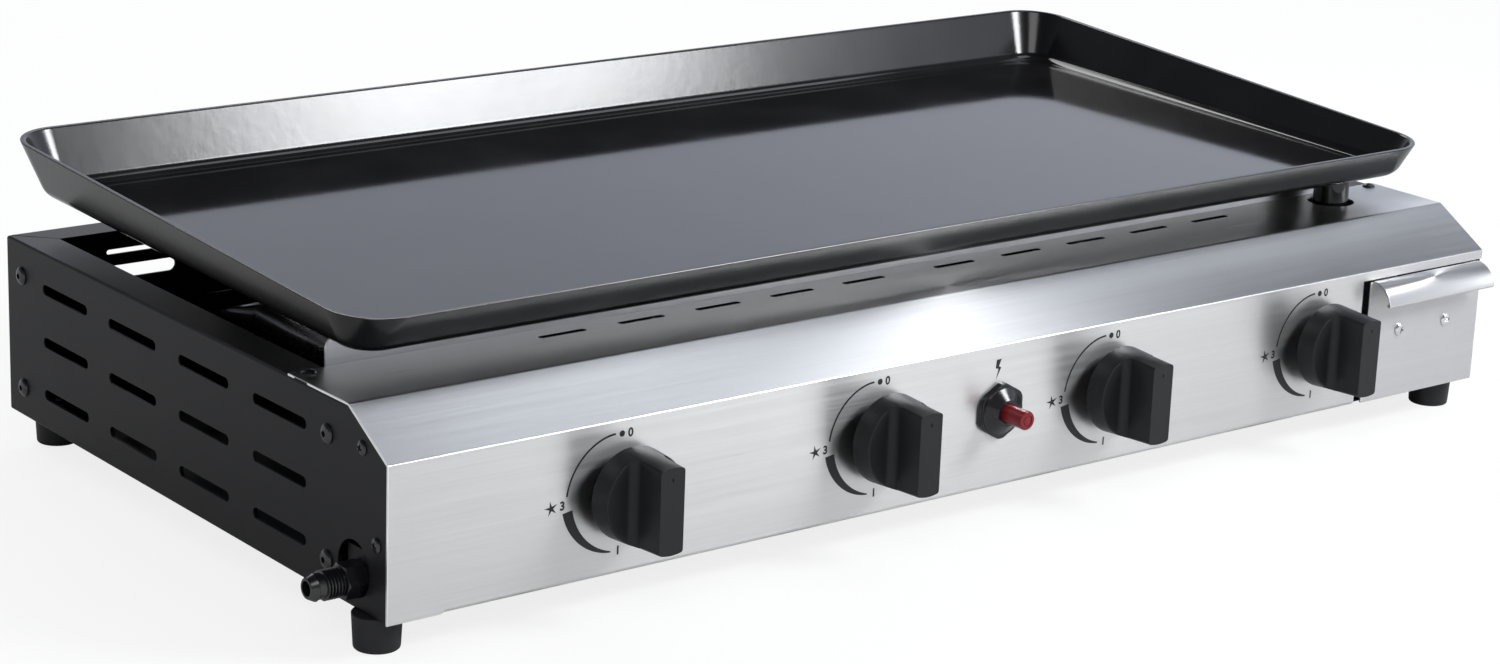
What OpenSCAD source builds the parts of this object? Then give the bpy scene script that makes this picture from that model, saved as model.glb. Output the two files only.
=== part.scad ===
// Table-top gas griddle: a sheet metal body with four tube burners, and an enamelled plate that lifts off.
// Lengths are in millimetres. Each piece is drawn in body coordinates: X from the middle of the body,
// Y backwards from the front face and Z up from the table. The module placed() then moves it so that the
// origin lies under the centre of the whole object's outline.

/* [Body] */
// Width of the sheet metal body
body_w = 800; // [780:5:860]
// Depth of the body, from the front face to the rear panel
body_d = 409; // [400:1:440]
// Height of the body above its feet, up to the flat strip
body_h = 105.5; // [103:0.5:112]
// Height of the upright front face
face_h = 83.5; // [82:0.5:88]
// Depth of the slope above the front face
slope_d = 37; // [30:1:45]
// Distance from the front face to the upstand behind the flat strip
upstand_y = 95; // [93:1:105]
// Height of the upstand above the flat strip
upstand_h = 16.5; // [12:0.5:25]
// Corner radius of the upstand
upstand_r = 8; // [2:0.5:11]
// Thickness of the body's sheet metal
sheet_t = 1.2; // [0.8:0.1:1.6]
// Width of the flange along the top of the side and rear panels
flange_w = 22; // [20:1:28]
// Width of the flange along the bottom of the panels
bottom_flange_w = 34; // [30:1:40]
// Depth of the flanges that join the panels at the corners
corner_flange_d = 16; // [14:1:18]

/* [Vents] */
// Length of a slot in the side panels
side_slot_l = 53; // [30:1:65]
// Width of a slot in the side panels
side_slot_w = 6; // [4:0.5:9]
// Distance from the rear panel to the middle of the last column of side slots
side_slot_back = 70.4; // [60:0.1:80]
// Depth of the highest row of side slots below the flat strip
side_row_top = 22.5; // [18:0.5:40]
// Height of the lowest row of side slots above the body's bottom edge
side_row_z = 20.8; // [18:0.1:24]
// Middle of the first column of side slots, behind the front face
side_column_y = 103.7; // [100:0.1:112]
// Length of a slot in the flat strip
strip_slot_l = 30.5; // [20:0.5:40]
// Width of a slot in the flat strip
strip_slot_w = 4.5; // [3:0.5:7]
// Distance from the body's side to the middle of the outermost slot in the flat strip
strip_slot_edge = 159.4; // [150:0.1:180]
// Gap between the middles of the two innermost slots in the flat strip
strip_slot_gap = 67.6; // [50:0.1:72]
// Middle of the slots in the flat strip, behind the front face
strip_slot_y = 82; // [76:0.5:86]
// Length of a wide slot in the rear panel
rear_slot_l = 53; // [30:1:60]
// Width of a wide slot in the rear panel
rear_slot_w = 8; // [4:0.5:9]
// Length of a narrow slot in the rear panel
rear_thin_l = 37; // [20:1:50]
// Width of a narrow slot in the rear panel
rear_thin_w = 3; // [2:0.5:4]
// Distance from the body's side to the middle of the outermost rear slot
rear_slot_edge = 81; // [72:0.5:110]
// Depth of the wide rear slots below the flat strip
rear_slot_drop = 32.5; // [30:0.5:45]
// Height of the narrow rear slots above the wide ones
rear_thin_rise = 12.5; // [9:0.5:16]

/* [Griddle plate] */
// Thickness of the plate
plate_t = 3; // [2:0.5:4]
// How far the rim's back corners stay inside the body's sides
rim_side = 1.5; // [-10:0.5:14]
// How far a side wall leans out from bottom to back corner
side_flare = 14; // [12:0.5:22]
// How far the rim reaches beyond the rear panel
rim_back = 8; // [2:0.5:20]
// Height of the front lip above the plate's underside
lip_h = 22; // [15:0.5:28]
// Height of the back wall above the plate's underside
back_h = 34.5; // [32:0.5:60]
// Distance from the front face to the edge of the front lip
lip_y = 40.5; // [38:0.5:48]
// How far the front wall leans out from bottom to rim
front_flare = 13; // [6:0.5:18]
// How far the back wall leans out from bottom to rim
back_flare = 15; // [8:0.5:24]
// How far the plate is tipped, in degrees, so that it drains towards the front
plate_tilt = 1.1; // [0:0.1:1.4]
// Radius of the plate's corners at the rim
rim_r = 30; // [20:1:40]
// Radius of the plate's corners at the bottom
pan_r = 19; // [14:1:30]
// Radius of the bend between the plate's bottom and walls
bend_r = 11; // [8:0.5:12]
// Radius of the drain hole
drain_r = 9; // [6:0.5:10]
// Outer radius of the drain spout
spout_r = 11; // [10.5:0.5:12]
// Length of the drain spout below the plate
spout_l = 37; // [30:1:42]
// Distance from the body's side to the middle of the drain spout
spout_side = 59; // [56:1:70]
// Middle of the drain spout, behind the front face
spout_y = 75.6; // [74:0.1:78]
// Radius of the hole that the spout hangs through
spout_hole_r = 14.6; // [13:0.1:16]

/* [Controls] */
// Distance from the body's side to the axis of the outermost knob
control_side = 142.9; // [142:0.1:170]
// Height of the controls above the body's bottom edge
control_h = 45.5; // [44:0.5:48]
// Radius of a knob where it faces the panel
knob_r = 25.5; // [20:0.5:26]
// Radius of a knob at its front
knob_front_r = 23.5; // [18:0.5:24]
// Distance from the panel to the front of a knob
knob_reach = 41; // [38:0.5:46]
// Gap between a knob and the panel
knob_gap = 6; // [5:0.5:8]
// Thickness of a knob's round base
knob_base_t = 13; // [10:0.5:16]
// Width of a knob's grip
grip_w = 15; // [12:0.5:18]
// Radius of the hollow between a knob's base and its grip
grip_fillet_r = 5; // [3:0.5:7]
// How far a knob is pressed in before it turns
knob_travel = 3; // [2:0.1:3.4]
// Radius of a control spindle
spindle_r = 4; // [3.5:0.1:4.4]
// Across-flats width of the igniter's nut
igniter_nut_w = 30; // [26:0.5:34]
// Thickness of the igniter's nut
igniter_nut_t = 3; // [2:0.5:4]
// Distance from the panel to the front of the igniter's collar
collar_reach = 8; // [7:0.5:9]
// Radius of the igniter's collar at its base
collar_base_r = 13.5; // [12:0.5:14.5]
// Radius of the igniter's collar at its front
collar_front_r = 7.5; // [7:0.5:10]
// Radius of the igniter's push button
button_r = 5.5; // [4.5:0.1:5.6]
// Distance from the panel to the front of the push button
button_reach = 23.5; // [20:0.5:28]
// How far the push button travels
button_travel = 8; // [5:0.5:10]

/* [Gas train] */
// Outer radius of a burner tube
burner_r = 12.5; // [11:0.5:14]
// Outer radius of a burner's mixing tube
mixer_r = 8; // [7.5:0.5:9]
// Wall of a burner tube
burner_wall = 0.8; // [0.6:0.1:1.2]
// Distance from the rear panel to where a burner starts to flatten towards its closed end
burner_back = 51; // [48:1:70]
// Height of a flame slit in a burner's side
port_h = 5; // [3:0.5:7]
// Width of a flame slit
port_w = 1.4; // [1:0.1:2]
// Distance between flame slits along a burner
port_pitch = 6.8; // [6.5:0.1:14]
// Distance from the front face to the first flame slit
port_first_y = 112; // [110:1:130]
// Outer radius of the manifold pipe
pipe_r = 8; // [7.5:0.1:8.5]
// Bore of the manifold pipe, as a radius
pipe_bore_r = 6; // [5.6:0.1:6.4]
// Height of the manifold pipe above the body's bottom edge
pipe_h = 16; // [15:0.5:17]
// Outer radius of the inlet's male thread
inlet_thread_r = 7.94; // [7.5:0.01:8.5]
// Length of the inlet's male thread
inlet_thread_l = 12; // [10:0.5:14]
// Distance from the side panel to the tip of the inlet
inlet_reach = 28; // [26:0.5:32]
// Radius of the round opening in the side panel behind the inlet
inlet_hole_r = 15; // [14.5:0.5:17]

/* [Drawer] */
// Width of the drawer's front plate
drawer_w = 101; // [98:0.5:102]
// Height of the drawer's front plate
drawer_h = 77; // [74:0.5:78]
// Dark gap at the left of the drawer's front plate
drawer_gap = 5; // [2:0.5:6]
// Distance that the handle lip stands out
lip_reach = 15; // [12:0.5:18]
// Width of the grease tray
tray_w = 75; // [66:1:75]
// Depth of the grease tray
tray_d = 178; // [150:1:200]
// Height of the grease tray's walls
tray_h = 54; // [40:1:56]
// How far the drawer pulls out
drawer_travel = 150; // [100:1:150]

/* [Feet] */
// Height of the rubber feet
foot_h = 19; // [15:0.5:25]
// Radius of a foot where it meets the body
foot_top_r = 13; // [12:0.5:14]
// Radius of a foot where it meets the table
foot_bottom_r = 12; // [11:0.5:13]

/* [Hidden] */
$fn = 48;

// Clearances, the overrun of every cut and the thickness of a layer in a hull
over = 1;
gap = 0.3;
running_fit = 0.05;
bolt_clear = 0.1;
layer = 0.1;

// Colours
steel_c = [0.78, 0.78, 0.79];
coated_c = [0.17, 0.17, 0.19];
enamel_c = [0.09, 0.09, 0.10];
plastic_c = [0.13, 0.13, 0.14];
brass_c = [0.75, 0.60, 0.30];
zinc_c = [0.66, 0.67, 0.68];
ceramic_c = [0.93, 0.92, 0.88];
red_c = [0.62, 0.05, 0.08];

// Main levels and faces in body coordinates
half_w = body_w / 2;
control_pitch = (half_w - control_side) / 1.5;
strip_slot_pitch = (half_w - strip_slot_edge - strip_slot_gap / 2) / 4;
rear_slot_pitch = (half_w - rear_slot_edge) / 4;
side_slot_pitch = (body_d - side_column_y - side_slot_back) / 3;
side_row_pitch = (body_h - side_row_z - side_row_top) / 2;
burner_flat_y = body_d - burner_back;
spout_x = half_w - spout_side;
base_z = foot_h;
face_z = base_z + face_h;
top_z = base_z + body_h;
slope_a = atan2(body_h - face_h, slope_d);
inner_w = half_w - sheet_t;
floor_z = base_z + 2 * sheet_t;
flange_top_z = top_z - sheet_t;
control_z = base_z + control_h;
control_xs = [for (i = [0:3]) (i - 1.5) * control_pitch];

// Points of the folded front at a depth t below its outer surface
function fold_low(t) = [t, face_z - t * (1 - sin(slope_a)) / cos(slope_a)];
function fold_high(t) = [slope_d + t * (1 - cos(slope_a)) / sin(slope_a), top_z - t];

// Griddle plate
plate_z = top_z + upstand_h + gap;
rim_back_w = body_w - 2 * rim_side;
pan_w = rim_back_w - 2 * side_flare;
tilt_y = upstand_y;
rim_reach = (body_d + rim_back - tilt_y + back_h * sin(plate_tilt)) / cos(plate_tilt);
rim_d = tilt_y + rim_reach - lip_y;
rim_tilt = atan2(back_h - lip_h, rim_d);
rim_plane_d = rim_d / cos(rim_tilt);
pan_y = lip_y + front_flare;
pan_d = rim_d - front_flare - back_flare;
side_lean = side_flare / back_h;
rim_front_w = pan_w + 2 * side_lean * lip_h;
wall_lean = atan2(back_flare, back_h);
rim_t = plate_t / cos(wall_lean);
bend_a = 90 - wall_lean;
bend_start = bend_r * tan(bend_a / 2);
bend_steps = 4;

// Bolts and screws
bolt_r = 2.5;
bolt_head_r = 4.75;
bolt_head_h = 2.6;
bolt_socket_w = 3.2;
bolt_hole_r = bolt_r + bolt_clear;
bolt_head_taper = 1;
bolt_head_floor = 0.6;
bolt_l = 8.6;
nut_w = 8;
nut_t = 4;
screw_r = 2;
screw_head_r = 4;
screw_head_h = 2;
screw_hole_r = screw_r + bolt_clear;
screw_head_taper = 0.8;
screw_l = 7;
cross_w = 1;
cross_l = 4;
cross_deep = 1.2;
bolt_front_y = 56.5;
bolt_rear_inset = 18;
bolt_low_h = 17.7;
bolt_high_drop = 21.1;
bolt_points = [
    for (y = [bolt_front_y, body_d - bolt_rear_inset], z = [base_z + bolt_low_h, top_z - bolt_high_drop])
        [y, z]
];
slope_screw_y = 23.5;
slope_screw_drop = 11.2;
slope_screw = [slope_screw_y, face_z + slope_screw_y * tan(slope_a) - slope_screw_drop];
face_screw_y = 9.7;
face_screw_h = 39.6;
face_screw = [face_screw_y, base_z + face_screw_h];
strip_screw_y = 89.3;
strip_screw_inset = 9;
strip_screw = [half_w - strip_screw_inset, strip_screw_y];

// Flanges, bulkhead and base
rear_flange_d = 32;
bulk_y = 61.5;
bulk_flange_d = 14;
bulk_flange_low = 34;
bulk_top_z = flange_top_z - sheet_t - gap;
bulk_tab_d = 10;
base_wall_h = 28;
base_wall_front = 48;
base_wall_back = 5;
base_wall_y = [base_wall_front, body_d - rear_flange_d - base_wall_back];

// Drawer and tray
drawer_side = 1;
drawer_lift = 0.5;
drawer_slit = 1;
drawer_x1 = half_w - drawer_side;
drawer_x0 = drawer_x1 - drawer_w;
drawer_z0 = base_z + drawer_lift;
notch_x0 = drawer_x0 - drawer_gap;
notch_z1 = drawer_z0 + drawer_h + drawer_slit;
tray_x0 = spout_x - tray_w / 2;
tray_x1 = tray_x0 + tray_w;
runner_t = 1.2;
runner_w = 12;
runner_wall_h = 9;
runner_side = 3;
runner_y0 = 8;
runner_stop_h = 6;
tray_z0 = floor_z + runner_t + gap;
tray_z1 = tray_z0 + tray_h;
tray_clear = 3;
tray_wall = 1.2;
front_plate_t = 1.2;
lip_drop_a = 80;
lip_inset = 3;
lip_steps = 8;
drawer_screw_dx = 21;
drawer_screw_h = 43.3;
drawer_screw_z = base_z + drawer_screw_h;
drawer_screw_x = (drawer_x0 + drawer_x1) / 2;

// Feet
foot_front_inset = 13;
foot_left_inset = 7.5;
foot_front_y = 21;
foot_rear_inset = 22;
foot_rear_back = 15;
foot_front = [half_w - foot_front_inset, foot_front_y];
foot_left = [half_w - foot_left_inset, foot_front_y];
foot_rear = [half_w - foot_rear_inset, body_d - foot_rear_back];
foot_bore_r = 5;
foot_bore_h = 8;
foot_points = [[-foot_left[0], foot_left[1]], foot_front, [-foot_rear[0], foot_rear[1]], foot_rear];

// Valve stack, from the panel backwards
valve_boss_r = 9;
valve_boss_l = 10;
valve_half_w = 10;
valve_half_h = 11;
valve_block_y0 = sheet_t + valve_boss_l;
valve_block_l = 30;
valve_block_y1 = valve_block_y0 + valve_block_l;
valve_front_wall = 3;
valve_back_wall = 6;
cavity_y0 = valve_block_y0 + valve_front_wall;
cavity_y1 = valve_block_y1 - valve_back_wall;
plug_r = 7;
plug_l = 12;
plug_port_back = 5;
plug_y1 = cavity_y1 - gap;
plug_y0 = plug_y1 - plug_l;
plug_port_r = 1.2;
plug_bypass_r = 0.5;
pipe_y = plug_y1 - plug_port_back;
pipe_z = base_z + pipe_h;
spindle_collar_r = 6.5;
spindle_collar_t = 2;
spindle_collar_gap = 0.1;
spindle_collar_y = cavity_y0 + spindle_collar_gap;
spindle_neck_r = 2.8;
spindle_end_gap = 0.4;
spindle_neck_y1 = plug_y0 - knob_travel - spindle_end_gap;
tongue_t = 2.4;
tongue_w = 5;
tongue_in = 1.3;
tongue_gap = 0.2;
plug_slot_l = tongue_in + knob_travel + spindle_end_gap;
spindle_panel_gap = 1;
spindle_hole_r = spindle_r + spindle_panel_gap;
spindle_flat = 1;
knob_bore_l = 20;
spindle_tip_gap = 0.5;
spindle_tip_y = -knob_gap - knob_bore_l + spindle_tip_gap;
stub_r = 6;
feed_r = 1.5;
outlet_r = 2.5;
jet_w = 9;
jet_hex_l = 4.8;
jet_tip_l = 4;
jet_cone_r = 3.5;
jet_tip_r = 1.8;
jet_bore_r = 0.6;
jet_spigot_l = 4;
spring_wire_r = 0.35;
spring_r = 5.2;
spring_turns = 4;
spring_end_gap = 0.2;
coil_steps = 12;
coil_sides = 6;

// Knob shape
knob_edge_r = 1.5;
edge_steps = 4;
knob_dot_r = 1.1;
knob_dot_deep = 0.5;
knob_dot_z = 17;

// Igniter
barrel_r = 8;
collar_wall = 3;
barrel_y = -collar_reach + collar_wall;
igniter_flange_r = 12;
igniter_flange_t = 2.5;
igniter_case_r = 9;
igniter_end_y = 46;
igniter_bore_r = 6.8;
igniter_bore_y = 28;
button_flange_t = 2;
button_tail_r = 4;
button_tail_y = 10;
button_edge_r = 1;
button_spring_wire_r = 0.5;
button_spring_r = 5.5;
button_spring_turns = 7;
terminal_r = 1;
terminal_l = 2;
terminal_pitch = 4;

// Electrodes and their leads
electrode_dx = -18;
electrode_rise = 6;
insulator_r = 2.5;
insulator_y0 = 54;
insulator_y1 = 92;
pin_r = 0.8;
pin_y = 109;
spark_gap = 1.5;
lead_r = 1.1;
lead_y = 51;
lead_rise = 22;
lead_z = control_z + lead_rise;
lead_step = 3;
lead_start_shares = [-0.5, -1.5, 1.5, 0.5];

// Burners and their rail
mixer_y0 = 48;
mixer_y1 = 92;
cone_l = 14;
air_slot_y0 = 51.5;
air_slot_l = 5;
air_slot_w = 6;
squeeze_l = 30;
squeeze_t = 2.4;
squeeze_w = 39;
tab_l = 10;
tab_y0 = burner_flat_y + squeeze_l;
port_count = floor((burner_flat_y - port_first_y) / port_pitch);
rail_inset = 2;
rail_y = tab_y0 + rail_inset;
rail_tab_d = 14;
rail_h = 26;
rail_ear_w = 58;
rail_ear_rise = 11.5;

// Gas inlet, from its tip inwards
inlet_bore_r = 4;
nose_tip_r = 5.4;
nose_l = 3.6;
nose_base_r = 7.3;
nose_neck_r = 6.7;
inlet_hex_w = 17;
bracket_t = 2;
bracket_in = 3.5;
bracket_x = -half_w + bracket_in;
inlet_neck_r = 7;
inlet_neck_l = 12.5;
lock_nut_w = 20;
lock_nut_t = 4;
neck_end_x = bracket_x + inlet_neck_l;
spigot_l = 8;
bracket_w = 24.5;
bracket_y0 = pipe_y - bracket_w / 2;
bracket_y1 = pipe_y + bracket_w / 2;
bracket_tab_w = 14;
bracket_rise = 15;
bracket_top_z = pipe_z + bracket_rise;
pipe_end_l = 18;
pipe_end_x = control_xs[3] + pipe_end_l;
pipe_cap_t = 2;
inlet_hole_back = 1.2;
inlet_hole_rise = 4.8;
inlet_hole_y = pipe_y + inlet_hole_back;
inlet_hole_z = pipe_z + inlet_hole_rise;

// Supports under the back of the griddle plate
support_side = 150;
support_x = half_w - support_side;
support_w = 40;
support_t = 2;
support_inset = 2;
support_y = body_d - flange_w + support_inset;
support_shelf_d = 18;
support_foot_d = 16;
support_screw_dx = 11;

// Outline of the whole object, and where body coordinates lie in it
reach_left = half_w + inlet_reach;
reach_right = max(half_w + bolt_head_h, rim_back_w / 2);
reach_front = knob_reach;
reach_back = max(body_d, body_d + rim_back);
body_x = (reach_left - reach_right) / 2;
front_y = (reach_front - reach_back) / 2;

// Helpers

module placed() {
    translate([body_x, front_y, 0]) children();
}

module box(low, high) {
    translate(low) cube(high - low);
}

module rod_x(r, l) {
    rotate([0, 90, 0]) cylinder(r = r, h = l);
}

module rod_y(r, l) {
    rotate([-90, 0, 0]) cylinder(r = r, h = l);
}

// An outline in Y and Z, drawn out along X
module extrude_x(x, w) {
    translate([x, 0, 0]) rotate([90, 0, 90]) linear_extrude(w) children();
}

// An outline in X and Z, drawn out along Y
module extrude_y(y, w) {
    translate([0, y + w, 0]) rotate([90, 0, 0]) linear_extrude(w) children();
}

// An outline of radius and distance, turned about an axis along Y
module turned_y(points) {
    rotate([-90, 0, 0]) rotate_extrude() polygon(points);
}

module slot_outline(l, w) {
    square([l - w, w], center = true);
    for (s = [-1, 1]) translate([s * (l - w) / 2, 0]) circle(d = w);
}

module hex_prism(w, l) {
    cylinder(r = w / 2 / cos(30), h = l, $fn = 6);
}

// A turned coil of wire along Z, from the height 0 to l
function ring_point(r, wire_r, turn, side, z) =
    [(r + wire_r * cos(side)) * cos(turn), (r + wire_r * cos(side)) * sin(turn), z + wire_r * sin(side)];

module coil(r, wire_r, turns, l) {
    count = turns * coil_steps;
    rise = l - 2 * wire_r;
    points = [
        for (i = [0:count], j = [0:coil_sides - 1])
            ring_point(r, wire_r, i * 360 / coil_steps, j * 360 / coil_sides, wire_r + rise * i / count)
    ];
    sides = [
        for (i = [0:count - 1], j = [0:coil_sides - 1])
            let (a = i * coil_sides + j, b = i * coil_sides + (j + 1) % coil_sides)
                each [[a, b, b + coil_sides], [a, b + coil_sides, a + coil_sides]]
    ];
    last = count * coil_sides;
    ends = [
        for (j = [1:coil_sides - 2])
            each [[0, j + 1, j], [last, last + j, last + j + 1]]
    ];
    polyhedron(points = points, faces = concat(sides, ends));
}

// Fasteners, pointing along +Z with the underside of the head at the height 0

module socket_bolt() {
    difference() {
        union() {
            cylinder(r = bolt_r, h = bolt_l);
            translate([0, 0, -bolt_head_h])
                cylinder(r1 = bolt_head_r - bolt_head_taper, r2 = bolt_head_r, h = bolt_head_h);
        }
        translate([0, 0, -bolt_head_h - over]) hex_prism(bolt_socket_w, bolt_head_h - bolt_head_floor + over);
    }
}

module cross_screw() {
    difference() {
        union() {
            cylinder(r = screw_r, h = screw_l);
            translate([0, 0, -screw_head_h])
                cylinder(r1 = screw_head_r - screw_head_taper, r2 = screw_head_r, h = screw_head_h);
        }
        for (a = [0, 90])
            rotate([0, 0, a])
                box([-cross_l / 2, -cross_w / 2, -screw_head_h - over],
                    [cross_l / 2, cross_w / 2, -screw_head_h + cross_deep]);
    }
}

module hex_nut(hole_r) {
    difference() {
        hex_prism(nut_w, nut_t);
        translate([0, 0, -over]) cylinder(r = hole_r, h = nut_t + 2 * over);
    }
}

// Griddle plate and its spout

module rounded_plate(w, d, r) {
    translate([-w / 2 + r, r])
        offset(r = r)
            square([w - 2 * r, d - 2 * r]);
}

// The pan as a solid, shrunk by t at its bottom and bends and by rim at the edge of its walls
module pan_solid(t, rim, rim_extra) {
    hull() {
        for (i = [0:bend_steps]) {
            a = i * bend_a / bend_steps;
            inset = bend_start - (bend_r - t) * sin(a);
            translate([0, pan_y + inset, plate_z + bend_r - (bend_r - t) * cos(a)])
                linear_extrude(layer)
                    rounded_plate(pan_w - 2 * inset, pan_d - 2 * inset, pan_r - inset);
        }
        translate([0, lip_y + rim, plate_z + lip_h - layer])
            rotate([rim_tilt, 0, 0])
                linear_extrude(layer + rim_extra)
                    polygon(rim_points(rim));
    }
}

// The rim's outline in its own tilted plane, a little wider at the back
function rim_points(t) = [
    for (c = [[1, 0, -90], [1, 1, 0], [-1, 1, 90], [-1, 0, 180]], a = [0:10:90])
        let (w = c[1] == 0 ? rim_front_w : rim_back_w, r = rim_r - t, d = rim_plane_d - 2 * t)
            [c[0] * (w / 2 - t - r) + r * cos(c[2] + a), c[1] * (d - 2 * r) + r + r * sin(c[2] + a)]
];

// Tips the plate and its spout about the line where the plate rests on the front upstand
module tipped() {
    translate([0, tilt_y, plate_z])
        rotate([plate_tilt, 0, 0])
            translate([0, -tilt_y, -plate_z]) children();
}

module griddle_plate() {
    color(enamel_c) placed() tipped()
        difference() {
            pan_solid(0, 0, 0);
            pan_solid(plate_t, rim_t, over);
            translate([spout_x, spout_y, plate_z - over]) cylinder(r = drain_r, h = plate_t + 2 * over);
        }
}

module drain_spout() {
    color(enamel_c) placed() tipped()
        translate([spout_x, spout_y, plate_z - spout_l])
            difference() {
                cylinder(r = spout_r, h = spout_l);
                translate([0, 0, -over]) cylinder(r = drain_r, h = spout_l + 2 * over);
            }
}

// Sheet metal body

module front_sheet() {
    extrude_x(-half_w, body_w)
        polygon([
            [0, base_z], [0, face_z], [slope_d, top_z], [upstand_y + sheet_t, top_z],
            [upstand_y + sheet_t, top_z - sheet_t], fold_high(sheet_t), fold_low(sheet_t), [sheet_t, base_z],
        ]);
    box([-half_w + bottom_flange_w + gap, 0, base_z], [notch_x0, bottom_flange_w, base_z + sheet_t]);
    extrude_y(upstand_y, sheet_t)
        upstand_outline();
    for (s = [0, 1]) mirror([s, 0, 0]) extrude_x(-inner_w, sheet_t) corner_flange_outline();
}

module upstand_outline() {
    w = body_w - 2 * flange_w;
    h = top_z + upstand_h - flange_top_z;
    translate([-w / 2, flange_top_z]) {
        square([w, h - upstand_r]);
        translate([upstand_r, 0]) square([w - 2 * upstand_r, h]);
        for (x = [upstand_r, w - upstand_r]) translate([x, h - upstand_r]) circle(r = upstand_r);
    }
}

module corner_flange_outline() {
    low = fold_low(sheet_t);
    end_y = slope_d - sheet_t;
    end_z = low[1] + (end_y - low[0]) * tan(slope_a);
    polygon([
        [sheet_t, floor_z + gap], low, [end_y, end_z], [end_y, end_z - corner_flange_d],
        [corner_flange_d, low[1] - corner_flange_d], [corner_flange_d, floor_z + gap],
    ]);
}

module front_panel() {
    color(steel_c) placed()
        difference() {
            front_sheet();
            box([notch_x0, -over, base_z - over], [half_w + over, bottom_flange_w + over, notch_z1]);
            for (x = control_xs) translate([x, -over, control_z]) rod_y(spindle_hole_r, sheet_t + 2 * over);
            translate([0, -over, control_z]) rod_y(barrel_r + gap, sheet_t + 2 * over);
            strip_slots();
            translate([spout_x, spout_y, top_z - sheet_t - over])
                cylinder(r = spout_hole_r, h = sheet_t + 2 * over);
            for (s = [-1, 1]) translate([s * strip_screw[0], strip_screw[1], 0])
                cylinder(r = screw_hole_r, h = top_z + over);
            side_holes([slope_screw], screw_hole_r);
            mirror([1, 0, 0]) side_holes([slope_screw, face_screw], screw_hole_r);
        }
}

module strip_slots() {
    for (s = [-1, 1], i = [0:4])
        translate([s * (strip_slot_gap / 2 + i * strip_slot_pitch), strip_slot_y, top_z - sheet_t - over])
            linear_extrude(sheet_t + 2 * over)
                slot_outline(strip_slot_l, strip_slot_w);
}

// Holes through the right side wall and the flange behind it
module side_holes(points, r) {
    for (p = points) translate([half_w - 2 * sheet_t - over, p[0], p[1]]) rod_x(r, 2 * sheet_t + 2 * over);
}

// Three rows of slots through a right side wall whose inner face is at x
module side_slots(x) {
    for (i = [0:3], j = [0:2])
        extrude_x(x - over, sheet_t + 2 * over)
            translate([side_column_y + i * side_slot_pitch, base_z + side_row_z + j * side_row_pitch])
                slot_outline(side_slot_l, side_slot_w);
}

// The right side panel; the left one is its mirror image, with its own front foot
module side_sheet(screws, front_foot) {
    start = fold_high(sheet_t);
    difference() {
        union() {
            extrude_x(inner_w, sheet_t)
                polygon([
                    [sheet_t, base_z], fold_low(sheet_t), start, [body_d, flange_top_z], [body_d, base_z],
                ]);
            translate([0, 0, flange_top_z - sheet_t])
                linear_extrude(sheet_t)
                    polygon([
                        [half_w, start[0]], [half_w, body_d], [half_w - flange_w, body_d - flange_w],
                        [half_w - flange_w, start[0]],
                    ]);
            box([half_w - bottom_flange_w, sheet_t, base_z], [half_w, body_d - sheet_t, base_z + sheet_t]);
        }
        side_slots(inner_w);
        side_holes(bolt_points, bolt_hole_r);
        side_holes(screws, screw_hole_r);
        translate([strip_screw[0], strip_screw[1], 0]) cylinder(r = screw_hole_r, h = top_z);
        for (p = [front_foot, foot_rear])
            translate([p[0], p[1], base_z - over]) cylinder(r = screw_hole_r, h = sheet_t + 2 * over);
    }
}

module side_panel_right() {
    color(coated_c) placed() side_sheet([slope_screw], foot_front);
}

module side_panel_left() {
    color(coated_c) placed()
        difference() {
            mirror([1, 0, 0]) side_sheet([slope_screw, face_screw], foot_left);
            translate([-half_w - over, inlet_hole_y, inlet_hole_z]) rod_x(inlet_hole_r, sheet_t + 2 * over);
        }
}

module rear_panel() {
    flange_y = body_d - flange_w;
    color(coated_c) placed()
        difference() {
            union() {
                box([-inner_w, body_d - sheet_t, base_z], [inner_w, body_d, flange_top_z]);
                translate([0, 0, flange_top_z - sheet_t])
                    linear_extrude(sheet_t)
                        polygon([
                            [-inner_w + gap, body_d], [inner_w - gap, body_d],
                            [half_w - flange_w - 2 * gap, flange_y], [-half_w + flange_w + 2 * gap, flange_y],
                        ]);
                box([-half_w + bottom_flange_w + gap, body_d - bottom_flange_w, base_z],
                    [half_w - bottom_flange_w - gap, body_d, base_z + sheet_t]);
                for (s = [0, 1]) mirror([s, 0, 0])
                    box([inner_w - sheet_t, body_d - rear_flange_d, base_z + sheet_t],
                        [inner_w, body_d, flange_top_z - sheet_t]);
            }
            rear_slots();
            for (s = [0, 1]) mirror([s, 0, 0]) side_holes(bolt_points, bolt_hole_r);
            for (p = support_screw_points) translate([p[0], p[1], base_z + body_h / 2])
                cylinder(r = screw_hole_r, h = body_h);
        }
}

module rear_slots() {
    for (i = [-4:4])
        extrude_y(body_d - sheet_t - over, sheet_t + 2 * over)
            translate([i * rear_slot_pitch, top_z - rear_slot_drop]) {
                slot_outline(rear_slot_l, rear_slot_w);
                translate([0, rear_thin_rise]) slot_outline(rear_thin_l, rear_thin_w);
            }
}

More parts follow.
